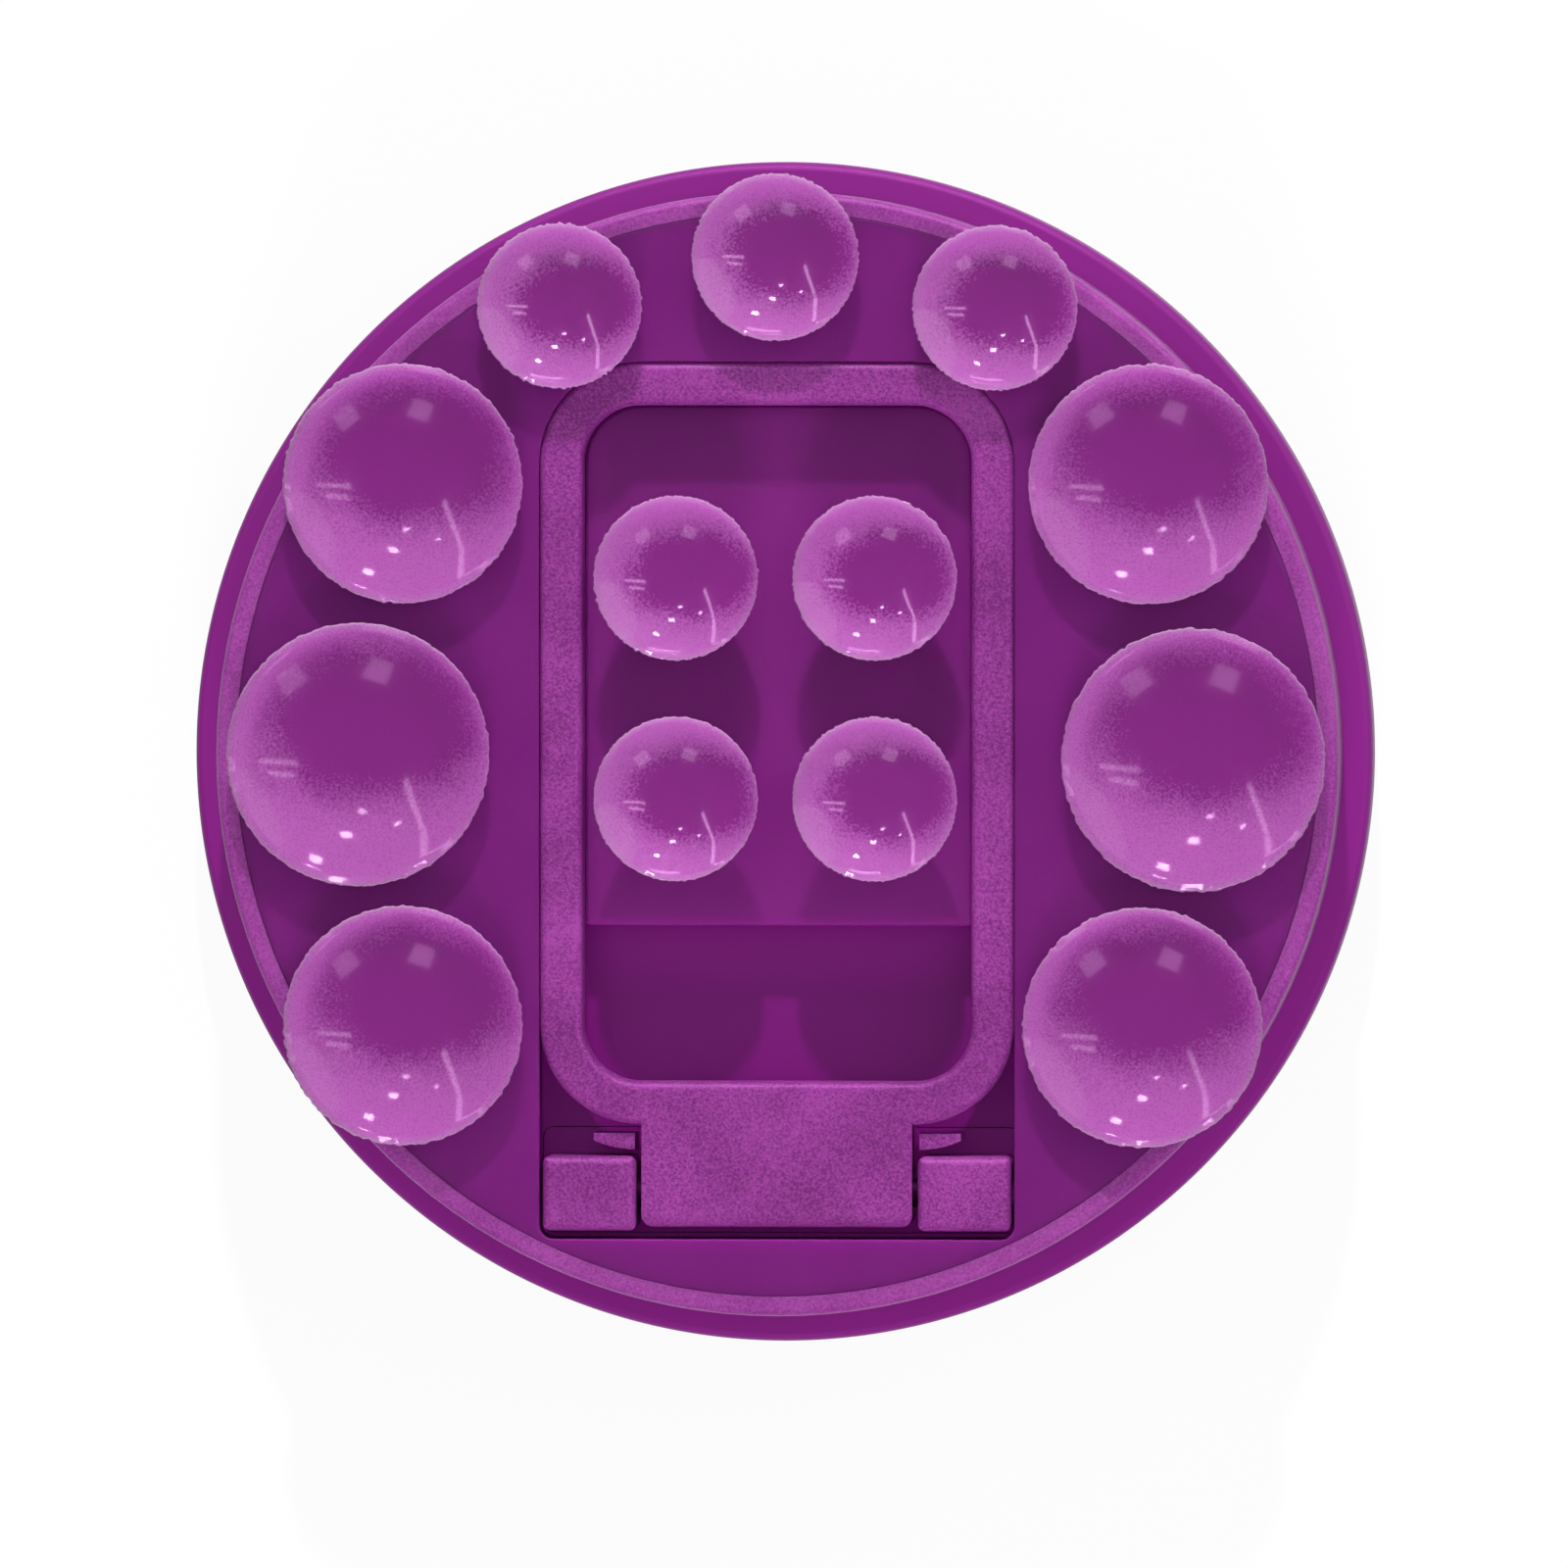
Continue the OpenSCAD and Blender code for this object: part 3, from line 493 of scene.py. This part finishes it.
# The rings at 15, 20 and 29 mm only keep the faces of the flat sides short.
face_profile = np.concatenate([[[0, 0], [15, 0], [29, 0]], face_edge,
                               [[FACE_R, FACE_TOP - 0.01], [20, FACE_TOP], [0, FACE_TOP]]])
face_sheet = turned("face_pad_sheet", face_profile, 240)
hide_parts("face_pad")
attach(face_sheet, "magnet_disc")

# %% [markdown]
# ## The wide disc's housing
#
# The CAD housing has the right shape, but its rounded edges are cut into few facets, and
# the bright edge line in the photograph shows them. So its whole section is turned again
# here with more points: the recess for the face pad, the channel for the magnets, both
# edge roundings, the groove for the glide ring and the hub.

# %% Turn the housing
EDGE_MIDDLE_R, HOUSING_EDGE = 32.5, 0.5                  # middle and size of the edge roundings
HOUSING_LOW, HOUSING_TOP = 0.2, 3.8
RECESS_R, RECESS_Z = 31.65, 0.8                          # for the face pad
CHANNEL_IN, CHANNEL_OUT, CHANNEL_Z = 22.95, 28.05, 2.9   # for the magnets
GROOVE_IN, GROOVE_OUT, GROOVE_Z = 8.95, 13.05, 3.5       # for the glide ring
HUB_R, HUB_TOP = 5.0, 5.5
SHARP_ANGLE = 35                                         # faces that meet more steeply keep an edge
housing_profile = np.concatenate([
    [[0, RECESS_Z], [CHANNEL_IN, RECESS_Z], [CHANNEL_IN, CHANNEL_Z], [CHANNEL_OUT, CHANNEL_Z],
     [CHANNEL_OUT, RECESS_Z], [RECESS_R, RECESS_Z], [RECESS_R, HOUSING_LOW]],
    corner(EDGE_MIDDLE_R, HOUSING_LOW + HOUSING_EDGE, HOUSING_EDGE, -90),
    corner(EDGE_MIDDLE_R, HOUSING_TOP - HOUSING_EDGE, HOUSING_EDGE, 0),
    [[GROOVE_OUT, HOUSING_TOP], [GROOVE_OUT, GROOVE_Z], [GROOVE_IN, GROOVE_Z], [GROOVE_IN, HOUSING_TOP],
     [HUB_R, HOUSING_TOP], [HUB_R, HUB_TOP], [0, HUB_TOP]]])
housing = turned("magnet_disc_housing", housing_profile, 360)
housing.data.set_sharp_from_angle(angle=math.radians(SHARP_ANGLE))
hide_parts("magnet_housing")
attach(housing, "magnet_disc")

# %% [markdown]
# ## Materials
#
# A few helpers carry all the materials. One turns a colour as a paint program writes it
# into the linear values that the renderer wants. One adds a node, with plain values for
# its settings, and values or links for its inputs. The others start a material, mix two
# colours, and put a finished material on its pieces.

# %% Helpers for materials
def linear(hex_colour):
    """An sRGB hex colour as linear red, green, blue and alpha: a share up to 0.04045 is divided
    by 12.92, and a larger one is shifted by 0.055, scaled by 1 / 1.055 and raised to 2.4."""
    values = [int(hex_colour[i:i + 2], 16) / 255 for i in (1, 3, 5)]
    return (*[v / 12.92 if v <= 0.04045 else ((v + 0.055) / 1.055) ** 2.4 for v in values], 1.0)


def add(tree, kind, inputs=None, **settings):
    """Adds a node: settings are its properties, and inputs are its sockets' values or links."""
    made = tree.nodes.new(kind)
    for key, value in settings.items():
        setattr(made, key, value)
    for socket, value in (inputs or {}).items():
        if isinstance(value, bpy.types.NodeSocket):
            tree.links.new(value, made.inputs[socket])
        else:
            made.inputs[socket].default_value = value
    return made


def new_material(name):
    """An empty material with its output node, and the object coordinates in metres."""
    material = bpy.data.materials.new(name)
    material.use_nodes = True
    tree = material.node_tree
    tree.nodes.clear()
    output = add(tree, "ShaderNodeOutputMaterial")
    where = add(tree, "ShaderNodeTexCoord").outputs["Object"]
    return material, tree, output, where


def mix_colours(tree, factor, first, second):
    """The colour between first and second that factor picks. A Mix node that works on colours
    has them on its sockets 6 and 7, and gives the result on its output 2."""
    mixed = add(tree, "ShaderNodeMix", {"Factor": factor}, data_type="RGBA")
    for socket, value in ((6, first), (7, second)):
        if isinstance(value, bpy.types.NodeSocket):
            tree.links.new(value, mixed.inputs[socket])
        else:
            mixed.inputs[socket].default_value = value
    return mixed.outputs[2]


def give(objects, material):
    """Puts one material on every object."""
    for piece in objects:
        piece.data.materials.clear()
        piece.data.materials.append(material)
    print(material.name, "on", len(objects), "object" if len(objects) == 1 else "objects")


print("mid grey, #808080, is", round(linear("#808080")[0], 3), "in linear light")

# %% [markdown]
# ### Moulded ABS with a spark-eroded grain
#
# The frame, the hinge and the upper disc are ABS, moulded against steel that sparks have
# roughened. That leaves a fine matte grain of about a seventh of a millimetre, which the
# photograph shows as speckle. The pocket's floor and walls come from a smooth part of the
# mould, so the material asks for the height and the distance from the middle, and keeps
# the grain for the top of the frame and the hinge, and for the disc's rim and outer wall.

# %% Grained ABS
GRAIN = 0.15 * MM
GRAIN_DEPTH = 0.008 * MM
ABS_CLOUD = 6 * MM
CLOUD_PART = 0.5                          # weight of the cloud beside the grain
SPECK_FROM, SPECK_TO = 0.55, 0.95         # their sum, from the dark colour to the pale one
ABS_ROUGHNESS = 0.4
ABS_IOR = 1.53
ABS_SMOOTH = "#860E84"
SHEEN = (1.0, 0.6, 1.0, 1.0)              # tints reflections, as the whole photograph is tinted
STEP_HEIGHT = 0.4 * MM
WALL_FROM, WALL_TO = 30.6 * MM, 31 * MM


def grain_share(tree, where, from_height):
    """1 on the disc's rim and outer wall, 0 in its pocket: the larger of two steps, one by the
    height, over STEP_HEIGHT from from_height, and one by the distance from the middle, from
    WALL_FROM to WALL_TO."""
    flat = add(tree, "ShaderNodeVectorMath", {0: where, 1: (1, 1, 0)}, operation="MULTIPLY")
    out = add(tree, "ShaderNodeVectorMath", {0: flat.outputs[0]}, operation="LENGTH")
    up = add(tree, "ShaderNodeSeparateXYZ", {0: where})
    high = add(tree, "ShaderNodeMapRange", {"Value": up.outputs["Z"], "From Min": from_height,
                                            "From Max": from_height + STEP_HEIGHT})
    wide = add(tree, "ShaderNodeMapRange", {"Value": out.outputs["Value"], "From Min": WALL_FROM,
                                            "From Max": WALL_TO})
    either = add(tree, "ShaderNodeMath", {0: high.outputs["Result"], 1: wide.outputs["Result"]},
                 operation="MAXIMUM")
    return either.outputs[0]


def grained_abs(name, pale, dark, from_height):
    """Matte plastic: a fine noise moves its colour, roughness and height, and a slow one mixes
    the two colours unevenly. Where grain_share is 0 it is plain, in the colour ABS_SMOOTH."""
    material, tree, output, where = new_material(name)
    grain = add(tree, "ShaderNodeTexNoise", {"Vector": where, "Scale": 1 / GRAIN, "Detail": 2.0,
                                             "Roughness": 0.6})
    cloud = add(tree, "ShaderNodeTexNoise", {"Vector": where, "Scale": 1 / ABS_CLOUD, "Detail": 2.0})
    both = add(tree, "ShaderNodeMath", {0: cloud.outputs["Fac"], 1: CLOUD_PART, 2: grain.outputs["Fac"]},
               operation="MULTIPLY_ADD")
    speck = add(tree, "ShaderNodeMapRange", {"Value": both.outputs[0], "From Min": SPECK_FROM,
                                             "From Max": SPECK_TO})
    colour = mix_colours(tree, speck.outputs["Result"], linear(dark), linear(pale))
    rough = add(tree, "ShaderNodeMapRange", {"Value": grain.outputs["Fac"], "From Min": 0.3, "From Max": 0.7,
                                             "To Min": ABS_ROUGHNESS - 0.05,
                                             "To Max": ABS_ROUGHNESS + 0.07})
    share = grain_share(tree, where, from_height)
    colour = mix_colours(tree, share, linear(ABS_SMOOTH), colour)
    bump = add(tree, "ShaderNodeBump", {"Height": grain.outputs["Fac"], "Distance": GRAIN_DEPTH,
                                        "Strength": share})
    shader = add(tree, "ShaderNodeBsdfPrincipled", {
        "Base Color": colour, "Roughness": rough.outputs["Result"], "Normal": bump.outputs["Normal"],
        "IOR": ABS_IOR, "Specular Tint": SHEEN,
        "Subsurface Weight": 0.6, "Subsurface Radius": (1.5, 0.2, 1.5), "Subsurface Scale": MM})
    tree.links.new(shader.outputs[0], output.inputs["Surface"])
    return material


FRAME_GRAIN_FROM, DISC_GRAIN_FROM = 6.2 * MM, 7.7 * MM
give([nodes["stand_frame"], nodes["hinge_bracket"]],
     grained_abs("grained_moulded_abs", "#AA48A8", "#742274", FRAME_GRAIN_FROM))
give([nodes["carrier"]],
     grained_abs("grained_moulded_abs_disc", "#AE52AC", "#8A308A", DISC_GRAIN_FROM))

# %% [markdown]
# ### Satin ABS
#
# The wide disc's housing is smoother than the rest. It still isn't a mirror: a slight
# waviness of the mould and fine handling marks soften what it reflects.

# %% Satin ABS of the wide disc
SATIN_CLOUD, SATIN_FINE = 9 * MM, 0.35 * MM


def satin_abs(name, colour, pale):
    """Smooth plastic: a slow noise mixes two close colours, and a fine one moves the roughness
    and the height a little."""
    material, tree, output, where = new_material(name)
    cloud = add(tree, "ShaderNodeTexNoise", {"Vector": where, "Scale": 1 / SATIN_CLOUD, "Detail": 3.0})
    fine = add(tree, "ShaderNodeTexNoise", {"Vector": where, "Scale": 1 / SATIN_FINE, "Detail": 2.0})
    colour_out = mix_colours(tree, cloud.outputs["Fac"], linear(colour), linear(pale))
    rough = add(tree, "ShaderNodeMapRange", {"Value": fine.outputs["Fac"], "To Min": 0.38, "To Max": 0.54})
    bump = add(tree, "ShaderNodeBump", {"Height": fine.outputs["Fac"], "Distance": 0.004 * MM,
                                        "Strength": 1.0})
    shader = add(tree, "ShaderNodeBsdfPrincipled", {
        "Base Color": colour_out, "Roughness": rough.outputs["Result"], "Normal": bump.outputs["Normal"],
        "IOR": ABS_IOR, "Specular Tint": SHEEN})
    tree.links.new(shader.outputs[0], output.inputs["Surface"])
    return material


give([housing], satin_abs("satin_moulded_abs", "#82147F", "#8A1C88"))

# %% [markdown]
# ### Silicone of the pads
#
# The pads are pigmented silicone rubber: satin, a little cloudy, and darker than the
# plastic. The face that lies on the phone is the same rubber in grey.

# %% Silicone of the pads
SILICONE_IOR = 1.41
PAD_CLOUD, PAD_FINE = 6 * MM, 0.3 * MM


def silicone_sheet(name, colour, pale):
    """Satin rubber: slow clouds of tint, a fine bump, and light that enters a little way."""
    material, tree, output, where = new_material(name)
    cloud = add(tree, "ShaderNodeTexNoise", {"Vector": where, "Scale": 1 / PAD_CLOUD, "Detail": 3.0})
    fine = add(tree, "ShaderNodeTexNoise", {"Vector": where, "Scale": 1 / PAD_FINE, "Detail": 2.0})
    colour_out = mix_colours(tree, cloud.outputs["Fac"], linear(colour), linear(pale))
    rough = add(tree, "ShaderNodeMapRange", {"Value": cloud.outputs["Fac"], "To Min": 0.36, "To Max": 0.5})
    bump = add(tree, "ShaderNodeBump", {"Height": fine.outputs["Fac"], "Distance": 0.006 * MM,
                                        "Strength": 1.0})
    shader = add(tree, "ShaderNodeBsdfPrincipled", {
        "Base Color": colour_out, "Roughness": rough.outputs["Result"], "Normal": bump.outputs["Normal"],
        "IOR": SILICONE_IOR, "Specular Tint": SHEEN,
        "Subsurface Weight": 0.9, "Subsurface Radius": (5.0, 0.4, 5.0), "Subsurface Scale": MM})
    tree.links.new(shader.outputs[0], output.inputs["Surface"])
    return material


give([rim_sheet], silicone_sheet("satin_silicone_pad", "#78147A", "#822081"))
give([centre_sheet], silicone_sheet("satin_silicone_centre_pad", "#841C83", "#8C268A"))
give([face_sheet], silicone_sheet("soft_silicone_face", "#453F4B", "#544D5B"))

# %% [markdown]
# ### Silicone of the cups
#
# The cups are of the same rubber, but thin, so light comes through them, and a fine frost
# makes them milky. It leaves a clear spot near the middle, where the dark pad shows. The
# number frost, shifted by a speckle and by slow clouds, sets where the clear spot turns
# into frost, and the frost gets paler with it. As the clear spot lies off the middle, this
# is partly real frost and partly painted light on the left and lower walls, with painted
# shade to the upper right. The number wall turns the thin lip pale all round: a painted
# glow of the light that comes through it, wider on the left. A clear moulded skin lies
# over all of it and gives the sharp reflections. The small cups' frost is paler, and their
# skin is glossier.

# %% Silicone of the cups
CUP_CLOUD, CUP_FINE, CUP_GRAIN = 2.2 * MM, 0.16 * MM, 0.12 * MM
SPECKLE, SHIFT = 2.2, 0.25                # weight of the speckle, and of both in the number frost
# The next two ranges set painted light: the frost gets paler outwards, partly real frost and partly painted
# light, and the lip gets a painted glow.
FROST_LIGHT_FROM, FROST_LIGHT_TO = 0.7, 1.5             # frost, from the dull colour to the milky one
LIP_GLOW_FROM, LIP_GLOW_TO = 0.72, 1.0              # wall, from the cup's side to its lip
GRAIN_SPREAD, GRAIN_OFFSET = 1.8, 0.95
CLEAR_SPOT = "#8C228A"


def silicone_cup(name, skin, skin_roughness, dull, milky_and_lit, start, end):
    """Thin rubber. Where the number frost goes from start to end, the clear spot's colour and
    gloss turn into those of the frost. The frost's colour goes from dull to milky with the
    distance, partly real frost and partly painted light, and a fine grain lets single specks
    stand out. The lip is painted pale, a painted glow of the light that comes through it."""
    material, tree, output, where = new_material(name)
    wall = add(tree, "ShaderNodeAttribute", attribute_name="wall").outputs["Fac"]
    away = add(tree, "ShaderNodeAttribute", attribute_name="frost").outputs["Fac"]
    cloud = add(tree, "ShaderNodeTexNoise", {"Vector": where, "Scale": 1 / CUP_CLOUD, "Detail": 3.0})
    fine = add(tree, "ShaderNodeTexNoise", {"Vector": where, "Scale": 1 / CUP_FINE, "Detail": 2.0})
    noise = add(tree, "ShaderNodeMath", {0: fine.outputs["Fac"], 1: SPECKLE, 2: cloud.outputs["Fac"]},
                operation="MULTIPLY_ADD")
    shifted = add(tree, "ShaderNodeMath", {0: noise.outputs[0], 1: SHIFT, 2: away}, operation="MULTIPLY_ADD")
    frost = add(tree, "ShaderNodeMapRange", {"Value": shifted.outputs[0], "From Min": start, "From Max": end},
                interpolation_type="SMOOTHSTEP").outputs["Result"]
    # Paler further from the clear spot: real frost, and painted light on the side away from it.
    frost_paleness_and_light = add(tree, "ShaderNodeMapRange", {"Value": shifted.outputs[0], "From Min": FROST_LIGHT_FROM,
                                            "From Max": FROST_LIGHT_TO},
               interpolation_type="SMOOTHSTEP").outputs["Result"]
    # The lip band: a painted glow of the light that comes through the thin rubber.
    lip = add(tree, "ShaderNodeMapRange", {"Value": wall, "From Min": LIP_GLOW_FROM, "From Max": LIP_GLOW_TO},
              interpolation_type="SMOOTHSTEP").outputs["Result"]
    outer = add(tree, "ShaderNodeMath", {0: frost_paleness_and_light, 1: lip}, operation="MAXIMUM")
    grain = add(tree, "ShaderNodeTexNoise", {"Vector": where, "Scale": 1 / CUP_GRAIN, "Detail": 2.0})
    grainy = add(tree, "ShaderNodeMath", {0: grain.outputs["Fac"], 1: GRAIN_SPREAD, 2: outer.outputs[0]},
                 operation="MULTIPLY_ADD")
    paler = add(tree, "ShaderNodeMath", {0: grainy.outputs[0], 1: GRAIN_OFFSET}, operation="SUBTRACT")
    frost_and_light_colour = mix_colours(tree, paler.outputs[0], linear(dull), linear(milky_and_lit))
    frost_or_lip_glow = add(tree, "ShaderNodeMath", {0: frost, 1: lip}, operation="MAXIMUM")
    colour = mix_colours(tree, frost_or_lip_glow.outputs[0], linear(CLEAR_SPOT), frost_and_light_colour)
    bump = add(tree, "ShaderNodeBump", {"Height": fine.outputs["Fac"], "Distance": 0.004 * MM,
                                        "Strength": frost})
    rough = add(tree, "ShaderNodeMapRange", {"Value": frost, "To Min": 0.2, "To Max": 0.45})
    shader = add(tree, "ShaderNodeBsdfPrincipled", {
        "Base Color": colour, "Roughness": rough.outputs["Result"], "Normal": bump.outputs["Normal"],
        "IOR": SILICONE_IOR, "Specular Tint": SHEEN,
        "Subsurface Weight": 0.9, "Subsurface Radius": (3.0, 1.5, 3.0), "Subsurface Scale": MM,
        "Coat Weight": skin, "Coat Roughness": skin_roughness, "Coat IOR": 1.5})
    tree.links.new(shader.outputs[0], output.inputs["Surface"])
    return material


small_cups = [cup for cup in cups if max(cup.dimensions) < 2 * SMALL_CUP_R * MM]
large_cups = [cup for cup in cups if cup not in small_cups]
give(small_cups, silicone_cup("moulded_silicone_small_cup", skin=0.8, skin_roughness=0.04,
                              dull="#A048A0", milky_and_lit="#C466C2", start=0.88, end=1.16))
give(large_cups, silicone_cup("moulded_silicone_large_cup", skin=0.6, skin_roughness=0.07,
                              dull="#8A328A", milky_and_lit="#BC5EBA", start=0.86, end=1.22))

# %% [markdown]
# ### Metals and the slippery ring
#
# The screws and the swivel's plates are bright steel with fine turning marks. The hinge's
# pin and sleeves are plated dark violet, so they don't shine out between the ears. The
# magnets are nickel plated. The glide ring is white acetal, which looks as satin as the
# wide disc's plastic and is made in the same way.

# %% Inner metals and acetal
TURNING_MARKS, PLATING_MARKS = 0.2 * MM, 0.5 * MM


def plain_metal(name, colour, roughness, mark_size):
    """Bare metal whose roughness and height follow a fine noise, as turning marks do."""
    material, tree, output, where = new_material(name)
    marks = add(tree, "ShaderNodeTexNoise", {"Vector": where, "Scale": 1 / mark_size, "Detail": 3.0})
    rough = add(tree, "ShaderNodeMapRange", {"Value": marks.outputs["Fac"],
                                             "To Min": roughness - 0.1, "To Max": roughness + 0.12})
    bump = add(tree, "ShaderNodeBump", {"Height": marks.outputs["Fac"], "Distance": 0.003 * MM,
                                        "Strength": 1.0})
    shader = add(tree, "ShaderNodeBsdfPrincipled", {
        "Base Color": linear(colour), "Metallic": 1.0, "Roughness": rough.outputs["Result"],
        "Normal": bump.outputs["Normal"]})
    tree.links.new(shader.outputs[0], output.inputs["Surface"])
    return material


steel_names = ["shunt_ring", "wave_washer", "swivel_retainer", "swivel_screws", "bracket_screws"]
give([nodes[n] for n in steel_names],
     plain_metal("turned_stainless_steel", "#C9C8C6", 0.3, TURNING_MARKS))
plated_names = ["hinge_pin", "friction_sleeve_left", "friction_sleeve_right"]
give([nodes[n] for n in plated_names],
     plain_metal("violet_zinc_plated_steel", "#4A1E48", 0.55, TURNING_MARKS))
magnets = [o for n, o in nodes.items() if n.startswith("magnet_") and n != "magnet_housing"]
give(magnets, plain_metal("nickel_plated_magnet", "#D3CFC6", 0.22, PLATING_MARKS))
give([nodes["glide_ring"]], satin_abs("machined_acetal", "#E4E1D8", "#EFEDE6"))

# %% [markdown]
# ## The floor
#
# The photograph's background is plain white. The floor shines white for the camera and for
# reflections only, so its glow throws no light on the object, and its weak diffuse part
# still takes the object's shadow.

# %% Floor
FLOOR_REACH = 1.5
FLOOR_Z = -0.05 * MM
FLOOR_GLOW = (0.9, 0.9, 0.9, 1)
FLOOR_PAPER = (0.1, 0.1, 0.1, 1)
PAPER_TOOTH = 0.5 * MM


def white_floor():
    """Emission that only the camera and reflections see, plus a weak diffuse part for the shadow."""
    material, tree, output, where = new_material("white_paper_floor")
    path = add(tree, "ShaderNodeLightPath")
    seen = add(tree, "ShaderNodeMath", {0: path.outputs["Is Camera Ray"],
                                        1: path.outputs["Is Glossy Ray"]}, operation="MAXIMUM")
    seen = add(tree, "ShaderNodeMath", {0: seen.outputs[0], 1: path.outputs["Is Transmission Ray"]},
               operation="MAXIMUM")
    glow = add(tree, "ShaderNodeEmission", {"Color": FLOOR_GLOW, "Strength": seen.outputs[0]})
    tooth = add(tree, "ShaderNodeTexNoise", {"Vector": where, "Scale": 1 / PAPER_TOOTH, "Detail": 2.0})
    bump = add(tree, "ShaderNodeBump", {"Height": tooth.outputs["Fac"], "Distance": 0.01 * MM})
    paper = add(tree, "ShaderNodeBsdfDiffuse", {"Color": FLOOR_PAPER, "Normal": bump.outputs["Normal"]})
    both = add(tree, "ShaderNodeAddShader", {0: glow.outputs[0], 1: paper.outputs[0]})
    tree.links.new(both.outputs[0], output.inputs["Surface"])
    return material


floor_mesh = bpy.data.meshes.new("floor")
floor_mesh.from_pydata([(x * FLOOR_REACH, y * FLOOR_REACH, FLOOR_Z)
                        for x, y in ((-1, -1), (1, -1), (1, 1), (-1, 1))], [], [(0, 1, 2, 3)])
floor = bpy.data.objects.new("floor", floor_mesh)
bpy.context.scene.collection.objects.link(floor)
give([floor], white_floor())

# %% [markdown]
# ## The light
#
# A small key lamp above the top of the picture gives the clear shadows that point down. A
# broad window stands on the right. Two fills keep the shadows purple: one where the camera
# is, and one below the picture. An even, dim, white world fills the rest.
#
# The key and the fills leave no reflection, because a mirrored lamp would bleach the flat
# tops when they are seen from low down. What shines in the cups comes from cards instead:
# bright rectangles that light nothing and only show reflected, each where the photograph's
# reflections show a window, a strip or a glint. They are tinted, as the whole photograph
# is. One wide, dim softbox does the same for the rounded edges of the plastic, and light
# linking keeps it out of the cups.

# %% Lamps
LAMP_DISTANCE = 0.9


def from_zenith(towards, zenith):
    """Unit direction at an angle from straight up, leaning towards a compass angle in the picture."""
    a, z = math.radians(towards), math.radians(zenith)
    return Vector((math.sin(z) * math.cos(a), math.sin(z) * math.sin(a), math.cos(z)))


def lamp(name, direction, size, irradiance, distance=LAMP_DISTANCE):
    """A flat round lamp that faces the object from a direction, size across. Its power is what
    gives the wanted irradiance at the object: a flat lamp of power P gives
    P / (pi * distance^2) there."""
    data = bpy.data.lights.new(name, "AREA")
    data.shape = "DISK"
    data.size = size
    data.energy = irradiance * math.pi * distance**2
    lamp_object = bpy.data.objects.new(name, data)
    bpy.context.scene.collection.objects.link(lamp_object)
    lamp_object.location = direction * distance
    lamp_object.rotation_euler = facing(direction)
    return lamp_object


key = lamp("key", from_zenith(90, 65), 0.035, 0.74 * math.pi)
lamp("side_window", from_zenith(30, 62), 0.8, 0.2 * math.pi)
fill_front = lamp("fill_front", camera_lean.normalized(), 0.03, 0.22 * math.pi, camera_distance)
fill_low = lamp("fill_low", from_zenith(-90, 60), 0.3, 0.46 * math.pi)
key.visible_glossy = fill_front.visible_glossy = fill_low.visible_glossy = False

# %% Cards that only show reflected
CARD_TINT = (1.0, 0.6, 1.0)
SOFTBOX_TINT = (1.0, 0.75, 1.0)


def card(name, start, end, width, radiance, tint=CARD_TINT):
    """A bright rectangle that only shows reflected. It reaches from one direction to another,
    both as compass angle and angle from straight up; its power is pi times area times radiance."""
    first, last = from_zenith(*start) * LAMP_DISTANCE, from_zenith(*end) * LAMP_DISTANCE
    length = (last - first).length
    middle = (first + last).normalized()
    piece = lamp(name, middle, width, radiance * width * length / LAMP_DISTANCE**2)
    piece.rotation_euler = facing(middle, upright=last - first)
    piece.data.shape = "RECTANGLE"
    piece.data.size_y = length
    piece.data.color = tint
    piece.visible_diffuse = False
    return piece


# Each card: its start and end as compass angle and angle from straight up, its width in
# metres, and its radiance.
CARDS = [
    ("window_left", (-56, 34), (-56, 48), 0.17, 3),
    ("window_right", (-112, 30), (-112, 44), 0.15, 3),
    ("strip_upper", (163, 20), (137, 47), 0.035, 8),
    ("strip_lower", (137, 47), (124, 68), 0.05, 8),
    ("streak_low", (6, 15), (2, 38), 0.03, 7),
    ("streak_high", (20, 18), (11, 33), 0.03, 7),
    ("glint_big", (75, 46), (75, 50), 0.07, 45),
    ("glint_middle", (92, 28), (92, 31.5), 0.06, 45),
    ("glint_small", (111, 17), (111, 19), 0.035, 30),
    ("glint_right", (130, 31), (130, 33), 0.035, 30),
    ("smile", (72, 65), (98, 65), 0.04, 8),
]
for details in CARDS:
    card(*details)

softbox = card("softbox", (90, 46), (90, 70), 0.6, 7, tint=SOFTBOX_TINT)
spared = bpy.data.collections.new("cups_spared_by_the_softbox")
for cup in cups:
    spared.objects.link(cup)
for entry in spared.collection_objects:
    entry.light_linking.link_state = "EXCLUDE"
softbox.light_linking.receiver_collection = spared

# %% World
SKY_STRENGTH = 0.25
world = bpy.data.worlds.new("studio")
bpy.context.scene.world = world
world.use_nodes = True
world.node_tree.nodes.clear()
sky = add(world.node_tree, "ShaderNodeBackground", {"Color": (1, 1, 1, 1), "Strength": SKY_STRENGTH})
add(world.node_tree, "ShaderNodeOutputWorld", {"Surface": sky.outputs[0]})
bpy.context.scene.view_settings.view_transform = "Standard"
print("world strength", SKY_STRENGTH)
